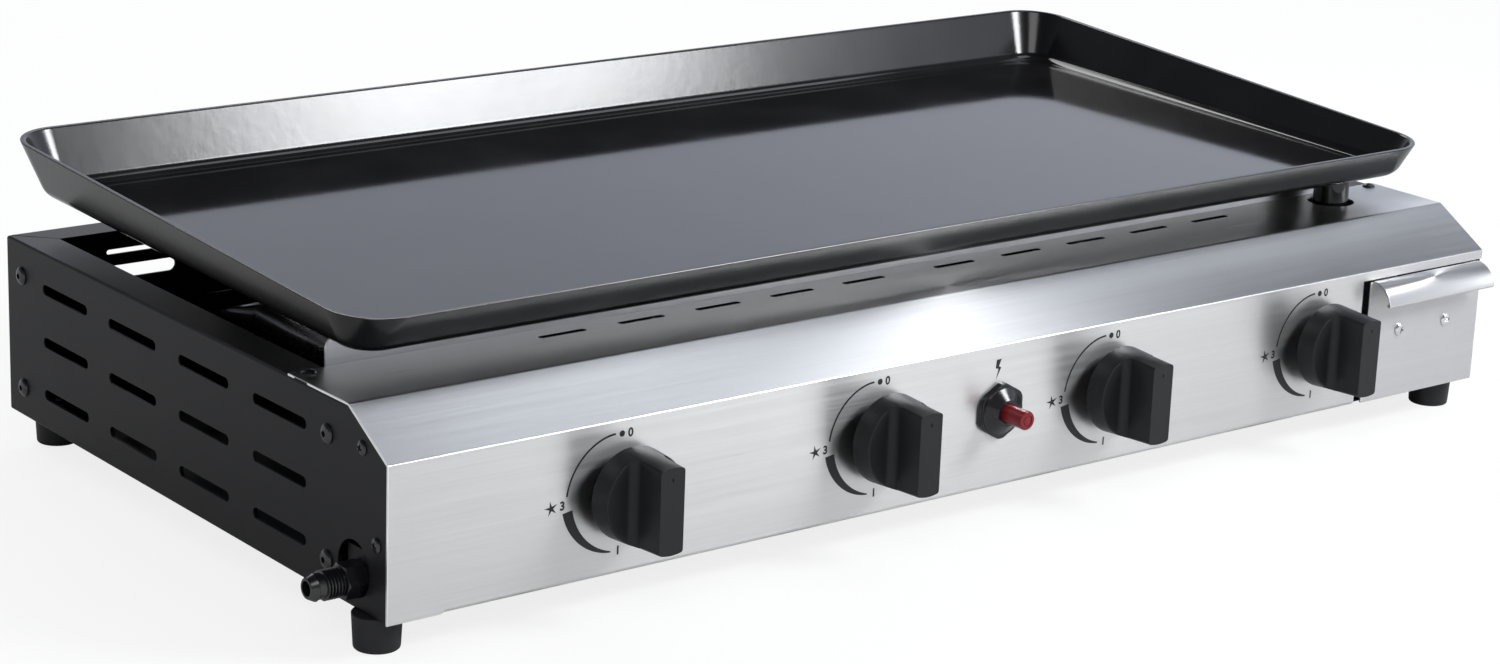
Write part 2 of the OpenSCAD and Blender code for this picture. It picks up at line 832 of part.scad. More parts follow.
module base_panel() {
    plate_w = inner_w - sheet_t - gap;
    color(coated_c) placed()
        difference() {
            union() {
                box([-plate_w, sheet_t + gap, base_z + sheet_t], [plate_w, body_d - sheet_t - gap, floor_z]);
                for (s = [0, 1]) mirror([s, 0, 0]) {
                    box([plate_w - over, base_wall_y[0], base_z + sheet_t],
                        [inner_w, base_wall_y[1], floor_z]);
                    box([inner_w - sheet_t, base_wall_y[0], base_z + sheet_t],
                        [inner_w, base_wall_y[1], floor_z + base_wall_h]);
                }
            }
            for (p = foot_points) translate([p[0], p[1], base_z]) cylinder(r = screw_hole_r, h = floor_z);
            for (s = [0, 1]) mirror([s, 0, 0]) {
                side_holes([bolt_points[0]], bolt_hole_r);
                side_slots(inner_w - sheet_t);
            }
        }
}

module front_bulkhead() {
    low_w = inner_w - sheet_t - gap;
    low_z = base_z + bulk_flange_low;
    color(coated_c) placed()
        difference() {
            union() {
                box([-low_w, bulk_y, floor_z], [low_w, bulk_y + sheet_t, bulk_top_z]);
                box([-inner_w, bulk_y, low_z], [inner_w, bulk_y + sheet_t, bulk_top_z]);
                for (s = [0, 1]) mirror([s, 0, 0])
                    box([inner_w - sheet_t, bulk_y - bulk_flange_d, low_z],
                        [inner_w, bulk_y + sheet_t, bulk_top_z]);
                box([-low_w, bulk_y - bulk_tab_d, floor_z], [low_w, bulk_y, floor_z + sheet_t]);
            }
            box([tray_x0 - tray_clear, bulk_y - bulk_flange_d - over, base_z],
                [half_w, bulk_y + sheet_t + over, tray_z1 + tray_clear]);
            for (x = control_xs) {
                translate([x, bulk_y - over, control_z]) rod_y(mixer_r + gap, sheet_t + 2 * over);
                translate([x + electrode_dx, bulk_y - over, control_z + electrode_rise])
                    rod_y(insulator_r + running_fit, sheet_t + 2 * over);
            }
            for (s = [0, 1]) mirror([s, 0, 0]) side_holes([bolt_points[1]], bolt_hole_r);
        }
}

support_screw_points = [
    for (s = [-1, 1], d = [-1, 1])
        [s * support_x + d * support_screw_dx, support_y + support_t + support_foot_d / 2]
];

// A folded bracket on the rear panel's top flange that carries the back of the griddle plate
module griddle_support(x) {
    shelf_y = support_y - support_shelf_d;
    shelf_z = plate_z + (shelf_y - tilt_y) * tan(plate_tilt) - gap;
    color(coated_c) placed()
        difference() {
            union() {
                box([x - support_w / 2, shelf_y, shelf_z - support_t],
                    [x + support_w / 2, support_y + support_t, shelf_z]);
                box([x - support_w / 2, support_y, flange_top_z],
                    [x + support_w / 2, support_y + support_t, shelf_z]);
                box([x - support_w / 2, support_y, flange_top_z],
                    [x + support_w / 2, support_y + support_t + support_foot_d, flange_top_z + support_t]);
            }
            for (p = support_screw_points) translate([p[0], p[1], flange_top_z - over])
                cylinder(r = screw_hole_r, h = support_t + 2 * over);
        }
}

// Burners and gas train

// A burner's squeezed end as a solid, shrunk by t, from the round tube to a flat edge
module squeezed_end(t, w, h) {
    hull() {
        translate([0, burner_flat_y - layer, 0]) rod_y(burner_r - t, 2 * layer, $fn = 32);
        box([-w / 2, tab_y0 - layer, -h / 2], [w / 2, tab_y0, h / 2]);
    }
}

module burner(x) {
    cone_y = mixer_y1 + cone_l;
    color(steel_c) placed() translate([x, 0, control_z])
        difference() {
            union() {
                turned_y([
                    [mixer_r - burner_wall, mixer_y0], [mixer_r, mixer_y0], [mixer_r, mixer_y1],
                    [burner_r, cone_y], [burner_r, burner_flat_y], [burner_r - burner_wall, burner_flat_y],
                    [burner_r - burner_wall, cone_y], [mixer_r - burner_wall, mixer_y1],
                ]);
                difference() {
                    squeezed_end(0, squeeze_w, squeeze_t);
                    squeezed_end(burner_wall, squeeze_w - 2 * burner_wall, layer);
                }
                box([-squeeze_w / 2, tab_y0 - layer, -squeeze_t / 2],
                    [squeeze_w / 2, tab_y0 + tab_l, squeeze_t / 2]);
            }
            for (i = [0:port_count - 1])
                translate([0, port_first_y + i * port_pitch, 0])
                    box([-burner_r - over, 0, -port_h / 2], [burner_r + over, port_w, port_h / 2]);
            translate([0, air_slot_y0, 0])
                box([-mixer_r - over, 0, -air_slot_w / 2], [mixer_r + over, air_slot_l, air_slot_w / 2]);
        }
}

// An angle on the base that holds the burners' flat ends in slots
module burner_rail() {
    w = control_xs[3] + rail_ear_w / 2;
    color(coated_c) placed()
        difference() {
            union() {
                box([-w, rail_y, floor_z], [w, rail_y + sheet_t, floor_z + rail_h]);
                box([-w, rail_y - rail_tab_d, floor_z], [w, rail_y, floor_z + sheet_t]);
                for (x = control_xs)
                    box([x - rail_ear_w / 2, rail_y, floor_z],
                        [x + rail_ear_w / 2, rail_y + sheet_t, control_z + rail_ear_rise]);
            }
            for (x = control_xs)
                box([x - squeeze_w / 2 - gap, rail_y - over, control_z - squeeze_t / 2 - gap],
                    [x + squeeze_w / 2 + gap, rail_y + sheet_t + over, control_z + squeeze_t / 2 + gap]);
        }
}

module manifold_pipe() {
    l = pipe_end_x - neck_end_x;
    color(zinc_c) placed() translate([neck_end_x, pipe_y, pipe_z])
        difference() {
            rod_x(pipe_r, l);
            translate([-over, 0, 0]) rod_x(pipe_bore_r, l - pipe_cap_t + over);
            for (x = control_xs) translate([x - neck_end_x, 0, 0]) cylinder(r = feed_r, h = pipe_r + over);
        }
}

module gas_inlet() {
    tip = -half_w - inlet_reach;
    nose = tip + nose_l;
    thread = nose + nose_l;
    hexagon = thread + inlet_thread_l;
    color(plastic_c) placed() translate([0, pipe_y, pipe_z])
        difference() {
            union() {
                translate([tip, 0, 0]) rotate([0, 90, 0])
                    cylinder(r1 = nose_tip_r, r2 = nose_base_r, h = nose_l);
                translate([nose, 0, 0]) rod_x(nose_neck_r, nose_l);
                translate([thread, 0, 0]) rod_x(inlet_thread_r, inlet_thread_l);
                translate([hexagon, 0, 0]) rotate([0, 90, 0]) hex_prism(inlet_hex_w, bracket_x - hexagon);
                translate([bracket_x, 0, 0]) rod_x(inlet_neck_r, neck_end_x - bracket_x);
                translate([neck_end_x, 0, 0]) rod_x(pipe_bore_r - running_fit, spigot_l);
            }
            translate([tip - over, 0, 0]) rod_x(inlet_bore_r, neck_end_x + spigot_l - tip + 2 * over);
        }
}

module inlet_lock_nut() {
    color(zinc_c) placed() translate([bracket_x + bracket_t, pipe_y, pipe_z])
        difference() {
            rotate([0, 90, 0]) hex_prism(lock_nut_w, lock_nut_t);
            translate([-over, 0, 0]) rod_x(inlet_neck_r + running_fit, lock_nut_t + 2 * over);
        }
}

module inlet_bracket() {
    color(zinc_c) placed()
        difference() {
            union() {
                box([bracket_x, bracket_y0, floor_z], [bracket_x + bracket_t, bracket_y1, bracket_top_z]);
                box([bracket_x, bracket_y0, floor_z],
                    [bracket_x + bracket_tab_w, bracket_y1, floor_z + bracket_t]);
            }
            translate([-foot_left[0], foot_left[1], floor_z - over])
                cylinder(r = nut_w / 2 / cos(30) + gap, h = nut_t + 2 * over);
            translate([bracket_x - over, pipe_y, pipe_z])
                rod_x(inlet_neck_r + running_fit, bracket_t + 2 * over);
        }
}

module valve_body(x) {
    color(brass_c) placed() translate([x, 0, control_z])
        difference() {
            union() {
                translate([0, sheet_t, 0]) rod_y(valve_boss_r, valve_boss_l);
                box([-valve_half_w, valve_block_y0, -valve_half_h],
                    [valve_half_w, valve_block_y1, valve_half_h]);
                translate([0, pipe_y, pipe_z - control_z])
                    cylinder(r = stub_r, h = control_z - pipe_z - plug_r);
            }
            translate([0, sheet_t - over, 0]) rod_y(spindle_r + running_fit, cavity_y0 - sheet_t + 2 * over);
            translate([0, cavity_y0, 0]) rod_y(plug_r + running_fit, cavity_y1 - cavity_y0);
            translate([0, cavity_y1 - over, 0]) rod_y(outlet_r, valve_block_y1 - cavity_y1 + 2 * over);
            translate([-stub_r - over, pipe_y, pipe_z - control_z])
                rod_x(pipe_r + running_fit, 2 * stub_r + 2 * over);
            translate([0, pipe_y, pipe_z - control_z]) cylinder(r = feed_r, h = control_z - pipe_z);
        }
}

module valve_plug(x) {
    color(brass_c) placed() translate([x, 0, control_z])
        difference() {
            translate([0, plug_y0, 0]) rod_y(plug_r, plug_l);
            box([-tongue_t / 2 - tongue_gap, plug_y0 - over, -tongue_w / 2 - tongue_gap],
                [tongue_t / 2 + tongue_gap, plug_y0 + plug_slot_l, tongue_w / 2 + tongue_gap]);
            translate([0, pipe_y, 0]) rod_y(plug_port_r, plug_y1 - pipe_y + over);
            translate([-plug_r - over, pipe_y, 0]) rod_x(plug_port_r, plug_r + over);
            translate([0, pipe_y, 0]) cylinder(r = plug_bypass_r, h = plug_r + over);
        }
}

module valve_spring(x) {
    start = spindle_collar_y + spindle_collar_t + spring_end_gap;
    color(zinc_c) placed() translate([x, start, control_z])
        rotate([-90, 0, 0])
            coil(spring_r, spring_wire_r, spring_turns, plug_y0 - start - spring_end_gap);
}

module spindle(x) {
    color(zinc_c) placed() translate([x, 0, control_z])
        difference() {
            union() {
                translate([0, spindle_tip_y, 0]) rod_y(spindle_r, spindle_collar_y - spindle_tip_y);
                translate([0, spindle_collar_y, 0]) rod_y(spindle_collar_r, spindle_collar_t);
                translate([0, spindle_collar_y, 0]) rod_y(spindle_neck_r, spindle_neck_y1 - spindle_collar_y);
                box([-tongue_t / 2, spindle_neck_y1 - over, -tongue_w / 2],
                    [tongue_t / 2, plug_y0 + tongue_in, tongue_w / 2]);
            }
            spindle_flat_cut(0);
        }
}

// The flat on a spindle's front end, grown by a clearance for the knob's bore
module spindle_flat_cut(clearance) {
    box([-spindle_r - over, spindle_tip_y - over, spindle_r - spindle_flat + clearance],
        [spindle_r + over, -knob_gap, spindle_r + over]);
}

// The outline of a knob's round body: radius against distance from its back
knob_l = knob_reach - knob_gap;
knob_outline = [
    [0, 0],
    [knob_r, 0],
    for (i = [0:edge_steps])
        let (a = i * 90 / edge_steps)
            [knob_front_r - knob_edge_r * (1 - cos(a)), knob_l - knob_edge_r * (1 - sin(a))],
    [0, knob_l],
];

// The outline in X and Y of what is cut away beside a knob's grip
module grip_cut_outline() {
    difference() {
        translate([grip_w / 2, -over - knob_l]) square([knob_r, knob_l - knob_base_t + over]);
        translate([grip_w / 2, -knob_base_t - grip_fillet_r])
            difference() {
                square(grip_fillet_r);
                translate([grip_fillet_r, 0]) circle(r = grip_fillet_r);
            }
    }
}

module knob(x) {
    color(plastic_c) placed() translate([x, -knob_gap, control_z])
        difference() {
            mirror([0, 1, 0]) turned_y(knob_outline);
            for (s = [0, 1]) mirror([s, 0, 0])
                translate([0, 0, -knob_r - over]) linear_extrude(2 * knob_r + 2 * over) grip_cut_outline();
            difference() {
                translate([0, -knob_bore_l, 0]) rod_y(spindle_r + running_fit, knob_bore_l + over);
                translate([0, knob_gap, 0]) spindle_flat_cut(running_fit);
            }
            translate([0, -knob_l - over, knob_dot_z]) rod_y(knob_dot_r, knob_dot_deep + over);
        }
}

module gas_jets() {
    for (x = control_xs)
        color(brass_c) placed() translate([x, valve_block_y1, control_z])
            difference() {
                union() {
                    translate([0, -jet_spigot_l, 0]) rod_y(outlet_r - running_fit, jet_spigot_l);
                    rotate([-90, 0, 0]) hex_prism(jet_w, jet_hex_l);
                    translate([0, jet_hex_l, 0]) rotate([-90, 0, 0])
                        cylinder(r1 = jet_cone_r, r2 = jet_tip_r, h = jet_tip_l);
                }
                translate([0, -jet_spigot_l - over, 0])
                    rod_y(jet_bore_r, jet_spigot_l + jet_hex_l + jet_tip_l + 2 * over);
            }
}

// Igniter

module igniter_body() {
    color(plastic_c) placed() translate([0, 0, control_z])
        difference() {
            union() {
                translate([0, barrel_y, 0]) rod_y(barrel_r, sheet_t - barrel_y + over);
                translate([0, sheet_t, 0]) rod_y(igniter_flange_r, igniter_flange_t);
                translate([0, sheet_t, 0]) rod_y(igniter_case_r, igniter_end_y - sheet_t);
                for (i = [-1.5:1.5])
                    translate([i * terminal_pitch, igniter_end_y, 0]) rod_y(terminal_r, terminal_l);
            }
            translate([0, barrel_y - over, 0]) rod_y(igniter_bore_r, igniter_bore_y - barrel_y + over);
        }
}

module igniter_nut() {
    color(plastic_c) placed() translate([0, 0, control_z])
        difference() {
            union() {
                translate([0, -igniter_nut_t, 0]) rotate([-90, 0, 0]) hex_prism(igniter_nut_w, igniter_nut_t);
                translate([0, -collar_reach, 0]) rotate([-90, 0, 0])
                    cylinder(r1 = collar_front_r, r2 = collar_base_r, h = collar_reach - igniter_nut_t);
            }
            translate([0, barrel_y, 0]) rod_y(barrel_r + running_fit, over - barrel_y);
            translate([0, -collar_reach - over, 0]) rod_y(button_r + gap, collar_reach + barrel_y + 2 * over);
        }
}

button_flange_y = barrel_y + gap;
button_tail_y0 = button_flange_y + button_flange_t;

module igniter_button() {
    color(red_c) placed() translate([0, 0, control_z])
        turned_y([
            [0, -button_reach], [button_r - button_edge_r, -button_reach],
            [button_r, -button_reach + button_edge_r], [button_r, button_flange_y],
            [igniter_bore_r - gap, button_flange_y], [igniter_bore_r - gap, button_tail_y0],
            [button_tail_r, button_tail_y0], [button_tail_r, button_tail_y], [0, button_tail_y],
        ]);
}

module igniter_spring() {
    start = button_tail_y0 + spring_end_gap;
    l = igniter_bore_y - start - spring_end_gap;
    color(zinc_c) placed() translate([0, start, control_z])
        rotate([-90, 0, 0]) coil(button_spring_r, button_spring_wire_r, button_spring_turns, l);
}

module electrode_insulators() {
    for (x = control_xs)
        color(ceramic_c) placed() translate([x + electrode_dx, insulator_y0, control_z + electrode_rise])
            rod_y(insulator_r, insulator_y1 - insulator_y0);
}

// A wire that leaves its insulator and turns towards the burner, ending at the spark gap
module electrode_pins() {
    for (x = control_xs)
        color(zinc_c) placed() translate([x + electrode_dx, insulator_y1, control_z + electrode_rise]) {
            rod_y(pin_r, pin_y - insulator_y1);
            translate([0, pin_y - insulator_y1, 0]) {
                sphere(r = pin_r);
                rod_x(pin_r, -electrode_dx - burner_r - spark_gap);
            }
        }
}

// A straight length of lead between two points that differ along one axis, with round ends
module lead_run(a, b) {
    d = b - a;
    l = norm(d);
    translate(a) {
        sphere(r = lead_r);
        if (d[0] != 0) mirror([d[0] < 0 ? 1 : 0, 0, 0]) rod_x(lead_r, l);
        if (d[1] != 0) rod_y(lead_r, l);
        if (d[2] != 0) mirror([0, 0, d[2] < 0 ? 1 : 0]) cylinder(r = lead_r, h = l);
    }
}

// One lead from each of the igniter's terminals to the front end of an electrode
module ignition_leads() {
    for (i = [0:3]) {
        start_x = lead_start_shares[i] * terminal_pitch;
        end_x = control_xs[i] + electrode_dx;
        level = lead_z + (i == 0 || i == 3 ? lead_step : 0);
        end_z = control_z + electrode_rise;
        color("dimgray") placed() {
            translate([start_x, igniter_end_y + terminal_l, control_z])
                rod_y(lead_r, lead_y - igniter_end_y - terminal_l);
            lead_run([start_x, lead_y, control_z], [start_x, lead_y, level]);
            lead_run([start_x, lead_y, level], [end_x, lead_y, level]);
            lead_run([end_x, lead_y, level], [end_x, lead_y, end_z]);
            lead_run([end_x, lead_y, end_z], [end_x, insulator_y0, end_z]);
        }
    }
}

// Drawer

module grease_tray() {
    color(zinc_c) placed()
        difference() {
            box([tray_x0, 0, tray_z0], [tray_x1, tray_d, tray_z1]);
            box([tray_x0 + tray_wall, tray_wall, tray_z0 + tray_wall],
                [tray_x1 - tray_wall, tray_d - tray_wall, tray_z1 + over]);
            drawer_screw_holes();
        }
}

module drawer_screw_holes() {
    for (s = [-1, 1]) translate([drawer_screw_x + s * drawer_screw_dx, -2 * front_plate_t, drawer_screw_z])
        rod_y(screw_hole_r, 4 * front_plate_t);
}

// The lip's section: an arc that rolls over outwards and down from the top of the plate
function lip_arc(r) = [
    for (i = [0:lip_steps])
        let (a = 90 + i * lip_drop_a / lip_steps)
            [r * cos(a) - front_plate_t / 2, drawer_z0 + drawer_h - lip_reach + r * sin(a)]
];

module drawer_front() {
    inner = lip_arc(lip_reach - front_plate_t);
    color(steel_c) placed()
        difference() {
            union() {
                box([drawer_x0, -front_plate_t, drawer_z0],
                    [drawer_x1, 0, drawer_z0 + drawer_h - front_plate_t / 2]);
                extrude_x(drawer_x0 + lip_inset, drawer_w - 2 * lip_inset)
                    polygon(concat(lip_arc(lip_reach), [for (i = [lip_steps:-1:0]) inner[i]]));
            }
            drawer_screw_holes();
        }
}

module drawer_screws() {
    for (s = [-1, 1])
        color(steel_c) placed()
            translate([drawer_screw_x + s * drawer_screw_dx, -front_plate_t, drawer_screw_z])
                rotate([-90, 0, 0]) cross_screw();
}

// Two folded rails on the base that guide the tray, each with a stop behind it
module drawer_runners() {
    end_y = tray_d + gap;
    for (s = [0, 1])
        color(zinc_c) placed()
            translate([tray_x0 + tray_w / 2, 0, 0]) mirror([s, 0, 0]) {
                outer = tray_w / 2 + runner_side;
                box([outer - runner_w, runner_y0, floor_z], [outer, end_y + runner_t, floor_z + runner_t]);
                box([outer - runner_t, runner_y0, floor_z],
                    [outer, end_y + runner_t, floor_z + runner_t + runner_wall_h]);
                box([outer - runner_w, end_y, floor_z],
                    [outer, end_y + runner_t, floor_z + runner_t + runner_stop_h]);
            }
}

// Feet and fasteners

module rubber_feet() {
    for (p = foot_points)
        color(plastic_c) placed() translate([p[0], p[1], 0])
            difference() {
                cylinder(r1 = foot_bottom_r, r2 = foot_top_r, h = foot_h);
                translate([0, 0, -over]) cylinder(r = foot_bore_r, h = foot_bore_h + over);
                cylinder(r = screw_hole_r, h = foot_h + over);
            }
}

module foot_screws() {
    for (p = foot_points)
        color(zinc_c) placed() translate([p[0], p[1], foot_bore_h]) {
            cylinder(r = screw_r, h = floor_z + nut_t + over - foot_bore_h);
            translate([0, 0, -screw_head_h]) cylinder(r = screw_head_r, h = screw_head_h);
        }
}

module side_bolts() {
    for (s = [0, 1], p = bolt_points)
        color(coated_c) placed() mirror([s, 0, 0])
            translate([half_w, p[0], p[1]]) rotate([0, -90, 0]) socket_bolt();
}

// Nuts inside the side walls and on the foot screws
module hex_nuts() {
    for (s = [0, 1], p = bolt_points)
        color(zinc_c) placed() mirror([s, 0, 0])
            translate([inner_w - sheet_t - nut_t, p[0], p[1]]) rotate([0, 90, 0]) hex_nut(bolt_hole_r);
    for (p = foot_points)
        color(zinc_c) placed() translate([p[0], p[1], floor_z]) hex_nut(screw_hole_r);
}

// Cross-head screws at the front corners of the side walls and on the strip's ears
module panel_screws() {
    color(coated_c) placed() {
        for (p = [slope_screw, face_screw])
            translate([-half_w, p[0], p[1]]) rotate([0, 90, 0]) cross_screw();
        translate([half_w, slope_screw[0], slope_screw[1]]) rotate([0, -90, 0]) cross_screw();
        for (s = [-1, 1])
            translate([s * strip_screw[0], strip_screw[1], top_z]) mirror([0, 0, 1]) cross_screw();
    }
}

module support_screws() {
    for (p = support_screw_points)
        color(zinc_c) placed()
            translate([p[0], p[1], flange_top_z + support_t]) mirror([0, 0, 1]) cross_screw();
}

griddle_plate();
drain_spout();
front_panel();
side_panel_left();
side_panel_right();
rear_panel();
base_panel();
front_bulkhead();
griddle_support(-support_x);  // griddle_support_left
griddle_support(support_x);  // griddle_support_right
burner(control_xs[0]);  // burner_1
burner(control_xs[1]);  // burner_2
burner(control_xs[2]);  // burner_3
burner(control_xs[3]);  // burner_4
burner_rail();
manifold_pipe();
gas_inlet();
inlet_lock_nut();
inlet_bracket();
valve_body(control_xs[0]);  // valve_body_1
valve_body(control_xs[1]);  // valve_body_2
valve_body(control_xs[2]);  // valve_body_3
valve_body(control_xs[3]);  // valve_body_4
valve_plug(control_xs[0]);  // valve_plug_1
valve_plug(control_xs[1]);  // valve_plug_2
valve_plug(control_xs[2]);  // valve_plug_3
valve_plug(control_xs[3]);  // valve_plug_4
valve_spring(control_xs[0]);  // valve_spring_1
valve_spring(control_xs[1]);  // valve_spring_2
valve_spring(control_xs[2]);  // valve_spring_3
valve_spring(control_xs[3]);  // valve_spring_4
spindle(control_xs[0]);  // spindle_1
spindle(control_xs[1]);  // spindle_2
spindle(control_xs[2]);  // spindle_3
spindle(control_xs[3]);  // spindle_4
knob(control_xs[0]);  // knob_1
knob(control_xs[1]);  // knob_2
knob(control_xs[2]);  // knob_3
knob(control_xs[3]);  // knob_4
gas_jets();
igniter_body();
igniter_nut();
igniter_button();
igniter_spring();
electrode_insulators();
electrode_pins();
ignition_leads();
grease_tray();
drawer_front();
drawer_screws();
drawer_runners();
rubber_feet();
foot_screws();
side_bolts();
hex_nuts();
panel_screws();
support_screws();
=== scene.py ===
# %% [markdown]
# # A four-burner gas griddle for a table top
# The object is a low box of folded sheet metal with four tube burners inside, a heavy enamelled plate that
# lies loose on top, and a row of knobs along a brushed steel front. The metal work of the part is already
# solved in CAD: every node arrives in its place, in metres. This lesson dresses it. Pieces whose edges,
# bends or details show are modelled again, rounder and finer, and everything gets a finish made of nodes.

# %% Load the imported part
import math

import bmesh
import bpy
from mathutils import Matrix, Vector


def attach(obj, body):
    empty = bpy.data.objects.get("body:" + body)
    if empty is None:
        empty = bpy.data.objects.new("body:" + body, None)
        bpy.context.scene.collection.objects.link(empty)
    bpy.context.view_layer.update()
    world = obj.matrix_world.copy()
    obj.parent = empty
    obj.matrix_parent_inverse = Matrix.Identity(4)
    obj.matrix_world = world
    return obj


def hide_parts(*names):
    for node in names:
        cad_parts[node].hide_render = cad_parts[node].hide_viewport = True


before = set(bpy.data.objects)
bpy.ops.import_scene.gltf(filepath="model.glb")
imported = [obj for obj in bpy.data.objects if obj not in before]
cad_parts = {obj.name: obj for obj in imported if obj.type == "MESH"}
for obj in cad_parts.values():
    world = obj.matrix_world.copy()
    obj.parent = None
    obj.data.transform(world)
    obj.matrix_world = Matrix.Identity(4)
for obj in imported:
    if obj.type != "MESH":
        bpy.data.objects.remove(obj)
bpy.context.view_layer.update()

# %% [markdown]
# ## Working in the maker's own millimetres
# A workshop drawing measures from the middle of the body, from the front face backwards and from the table
# up, in millimetres. Modelling in those numbers keeps every size readable. One matrix at the end takes a
# finished mesh to the part's frame in metres, so that each object can stay at the origin, unturned.

# %% One matrix from the drawing to the part's frame
MM = 0.001
DRAWING_ORIGIN = (0.0127, -0.188, 0.0)
PLACE = Matrix.Translation(DRAWING_ORIGIN) @ Matrix.Scale(MM, 4)
TINY = 1e-4


def moved(x=0.0, y=0.0, z=0.0):
    return Matrix.Translation((x, y, z))


def turned(degrees, axis):
    return Matrix.Rotation(math.radians(degrees), 4, axis)


# %% [markdown]
# ## Small helpers around the bmesh operators
# Sheet metal work repeats a few moves: round the edges that are sharp, give a surface its thickness, drill
# a hole. A helper for each keeps the later cells short. The exact Boolean stands for the punch and the
# drill, and it also tells where a hole starts and ends on a bent sheet.

# %% Bevel, drill and stamp
SHARP = math.radians(50)


def sharp_edges(bm, where=None):
    found = [e for e in bm.edges if e.is_manifold and e.calc_face_angle(0.0) > SHARP]
    return [e for e in found if where is None or all(where(v.co) for v in e.verts)]


def round_edges(bm, edges, radius, segments):
    if edges:
        bmesh.ops.bevel(bm, geom=edges, offset=radius, offset_type="OFFSET", segments=segments, profile=0.5,
                        affect="EDGES", material=-1, clamp_overlap=True)


def round_corners(bm, verts, radius, segments):
    bmesh.ops.bevel(bm, geom=verts, offset=radius, offset_type="OFFSET", segments=segments, profile=0.5,
                    affect="VERTICES", material=-1)


def thicken(bm, thickness):
    """The surface is the outer side of the metal: the wall grows behind it."""
    bmesh.ops.recalc_face_normals(bm, faces=bm.faces)
    bmesh.ops.solidify(bm, geom=bm.faces[:], thickness=thickness)


def within(value, span, slack=0.05):
    low, high = span if isinstance(span, tuple) else (span, span)
    return low - slack < value < high + slack


def edges_on(bm, **spans):
    """The edges whose two ends lie in the given spans, such as y=0 or x=(-10, 10)."""
    return [e for e in bm.edges
            if all(within(getattr(v.co, axis), span) for v in e.verts for axis, span in spans.items())]


def move_corners(bm, geom, vec):
    corners = [v for v in geom if isinstance(v, bmesh.types.BMVert)]
    bmesh.ops.translate(bm, vec=vec, verts=corners)
    return corners


def pull(bm, edges, vec):
    """Draws a flange out of some edges, and returns its new corners."""
    return move_corners(bm, bmesh.ops.extrude_edge_only(bm, edges=edges)["geom"], vec)


def slice_off(bm, place, facing, keep_all=False):
    """Cuts with a plane, and drops what lies on the side that it faces."""
    bmesh.ops.bisect_plane(bm, geom=bm.verts[:] + bm.edges[:] + bm.faces[:], dist=TINY, plane_co=place,
                           plane_no=facing, clear_outer=not keep_all)


def split_at(bm, places, axis=(1, 0, 0)):
    for place in places:
        slice_off(bm, Vector(axis) * place, axis, keep_all=True)


def new_object(name, data):
    made = bpy.data.objects.new(name, data)
    bpy.context.scene.collection.objects.link(made)
    return made


def object_of(bm, name="work"):
    mesh = bpy.data.meshes.new(name)
    bm.to_mesh(mesh)
    bm.free()
    return new_object(name, mesh)


def cut(bm, tool, how="DIFFERENCE"):
    """Takes the tool's solid out of the piece's, or joins them, or keeps what they share."""
    body, cutter = object_of(bm), object_of(tool)
    punch = body.modifiers.new("punch", "BOOLEAN")
    punch.operation, punch.solver, punch.object = how, "EXACT", cutter
    result = bmesh.new()
    result.from_mesh(body.evaluated_get(bpy.context.evaluated_depsgraph_get()).to_mesh())
    for done in (body, cutter):
        mesh = done.data
        bpy.data.objects.remove(done)
        bpy.data.meshes.remove(mesh)
    return result


def stamp(bm, source, matrix=Matrix.Identity(4)):
    """Adds a copy of another bmesh, as it is or at a place."""
    mesh = bpy.data.meshes.new("work")
    source.to_mesh(mesh)
    mesh.transform(matrix)
    bm.from_mesh(mesh)
    bpy.data.meshes.remove(mesh)


def stamped(source, places):
    """A new bmesh with a copy of another one at every place."""
    bm = bmesh.new()
    for place in places:
        stamp(bm, source, place)
    return bm


# %% [markdown]
# ## Round things from a profile
# Knobs, feet, screws and fittings come off a lathe or out of a round mould. A profile of radius against
# length, spun through a full turn, gives them at once, and the bevels go on afterwards.

# %% Lathe and drill shapes
def lay_along(bm, axis):
    """Turns a shape that was made along Z."""
    if axis != "Z":
        bmesh.ops.transform(bm, matrix=turned(-90, "X") if axis == "Y" else turned(90, "Y"), verts=bm.verts)


def lathe(points, axis="Z", steps=48, closed=False):
    """Spins points of (radius, length) about an axis."""
    bm = bmesh.new()
    line = [bm.verts.new((r, 0, h)) for r, h in points]
    chain = [bm.edges.new(pair) for pair in zip(line, line[1:] + (line[:1] if closed else []))]
    bmesh.ops.spin(bm, geom=line + chain, cent=(0, 0, 0), axis=(0, 0, 1), angle=math.tau, steps=steps,
                   use_merge=True, use_duplicate=False)
    bmesh.ops.remove_doubles(bm, verts=bm.verts, dist=TINY)
    bmesh.ops.dissolve_degenerate(bm, dist=TINY, edges=bm.edges)
    lay_along(bm, axis)
    bmesh.ops.recalc_face_normals(bm, faces=bm.faces)
    return bm


def rod(radius, length, axis="Z", segments=32, at=(0, 0, 0)):
    """A drill: a cylinder that starts at a place and runs along an axis."""
    bm = bmesh.new()
    bmesh.ops.create_cone(bm, cap_ends=True, segments=segments, radius1=radius, radius2=radius, depth=length,
                          matrix=moved(z=length / 2))
    lay_along(bm, axis)
    bmesh.ops.translate(bm, vec=at, verts=bm.verts)
    return bm


def draw_out(bm, vec):
    """Draws a flat outline out into a solid, and returns its new corners."""
    corners = move_corners(bm, bmesh.ops.extrude_face_region(bm, geom=bm.faces[:])["geom"], vec)
    bmesh.ops.recalc_face_normals(bm, faces=bm.faces)
    return corners


def hexagon(across, height):
    """A prism along Z with six sides, of that width between two opposite ones."""
    bm = bmesh.new()
    bmesh.ops.create_circle(bm, cap_ends=True, segments=6, radius=across / math.sqrt(3))
    draw_out(bm, (0, 0, height))
    return bm


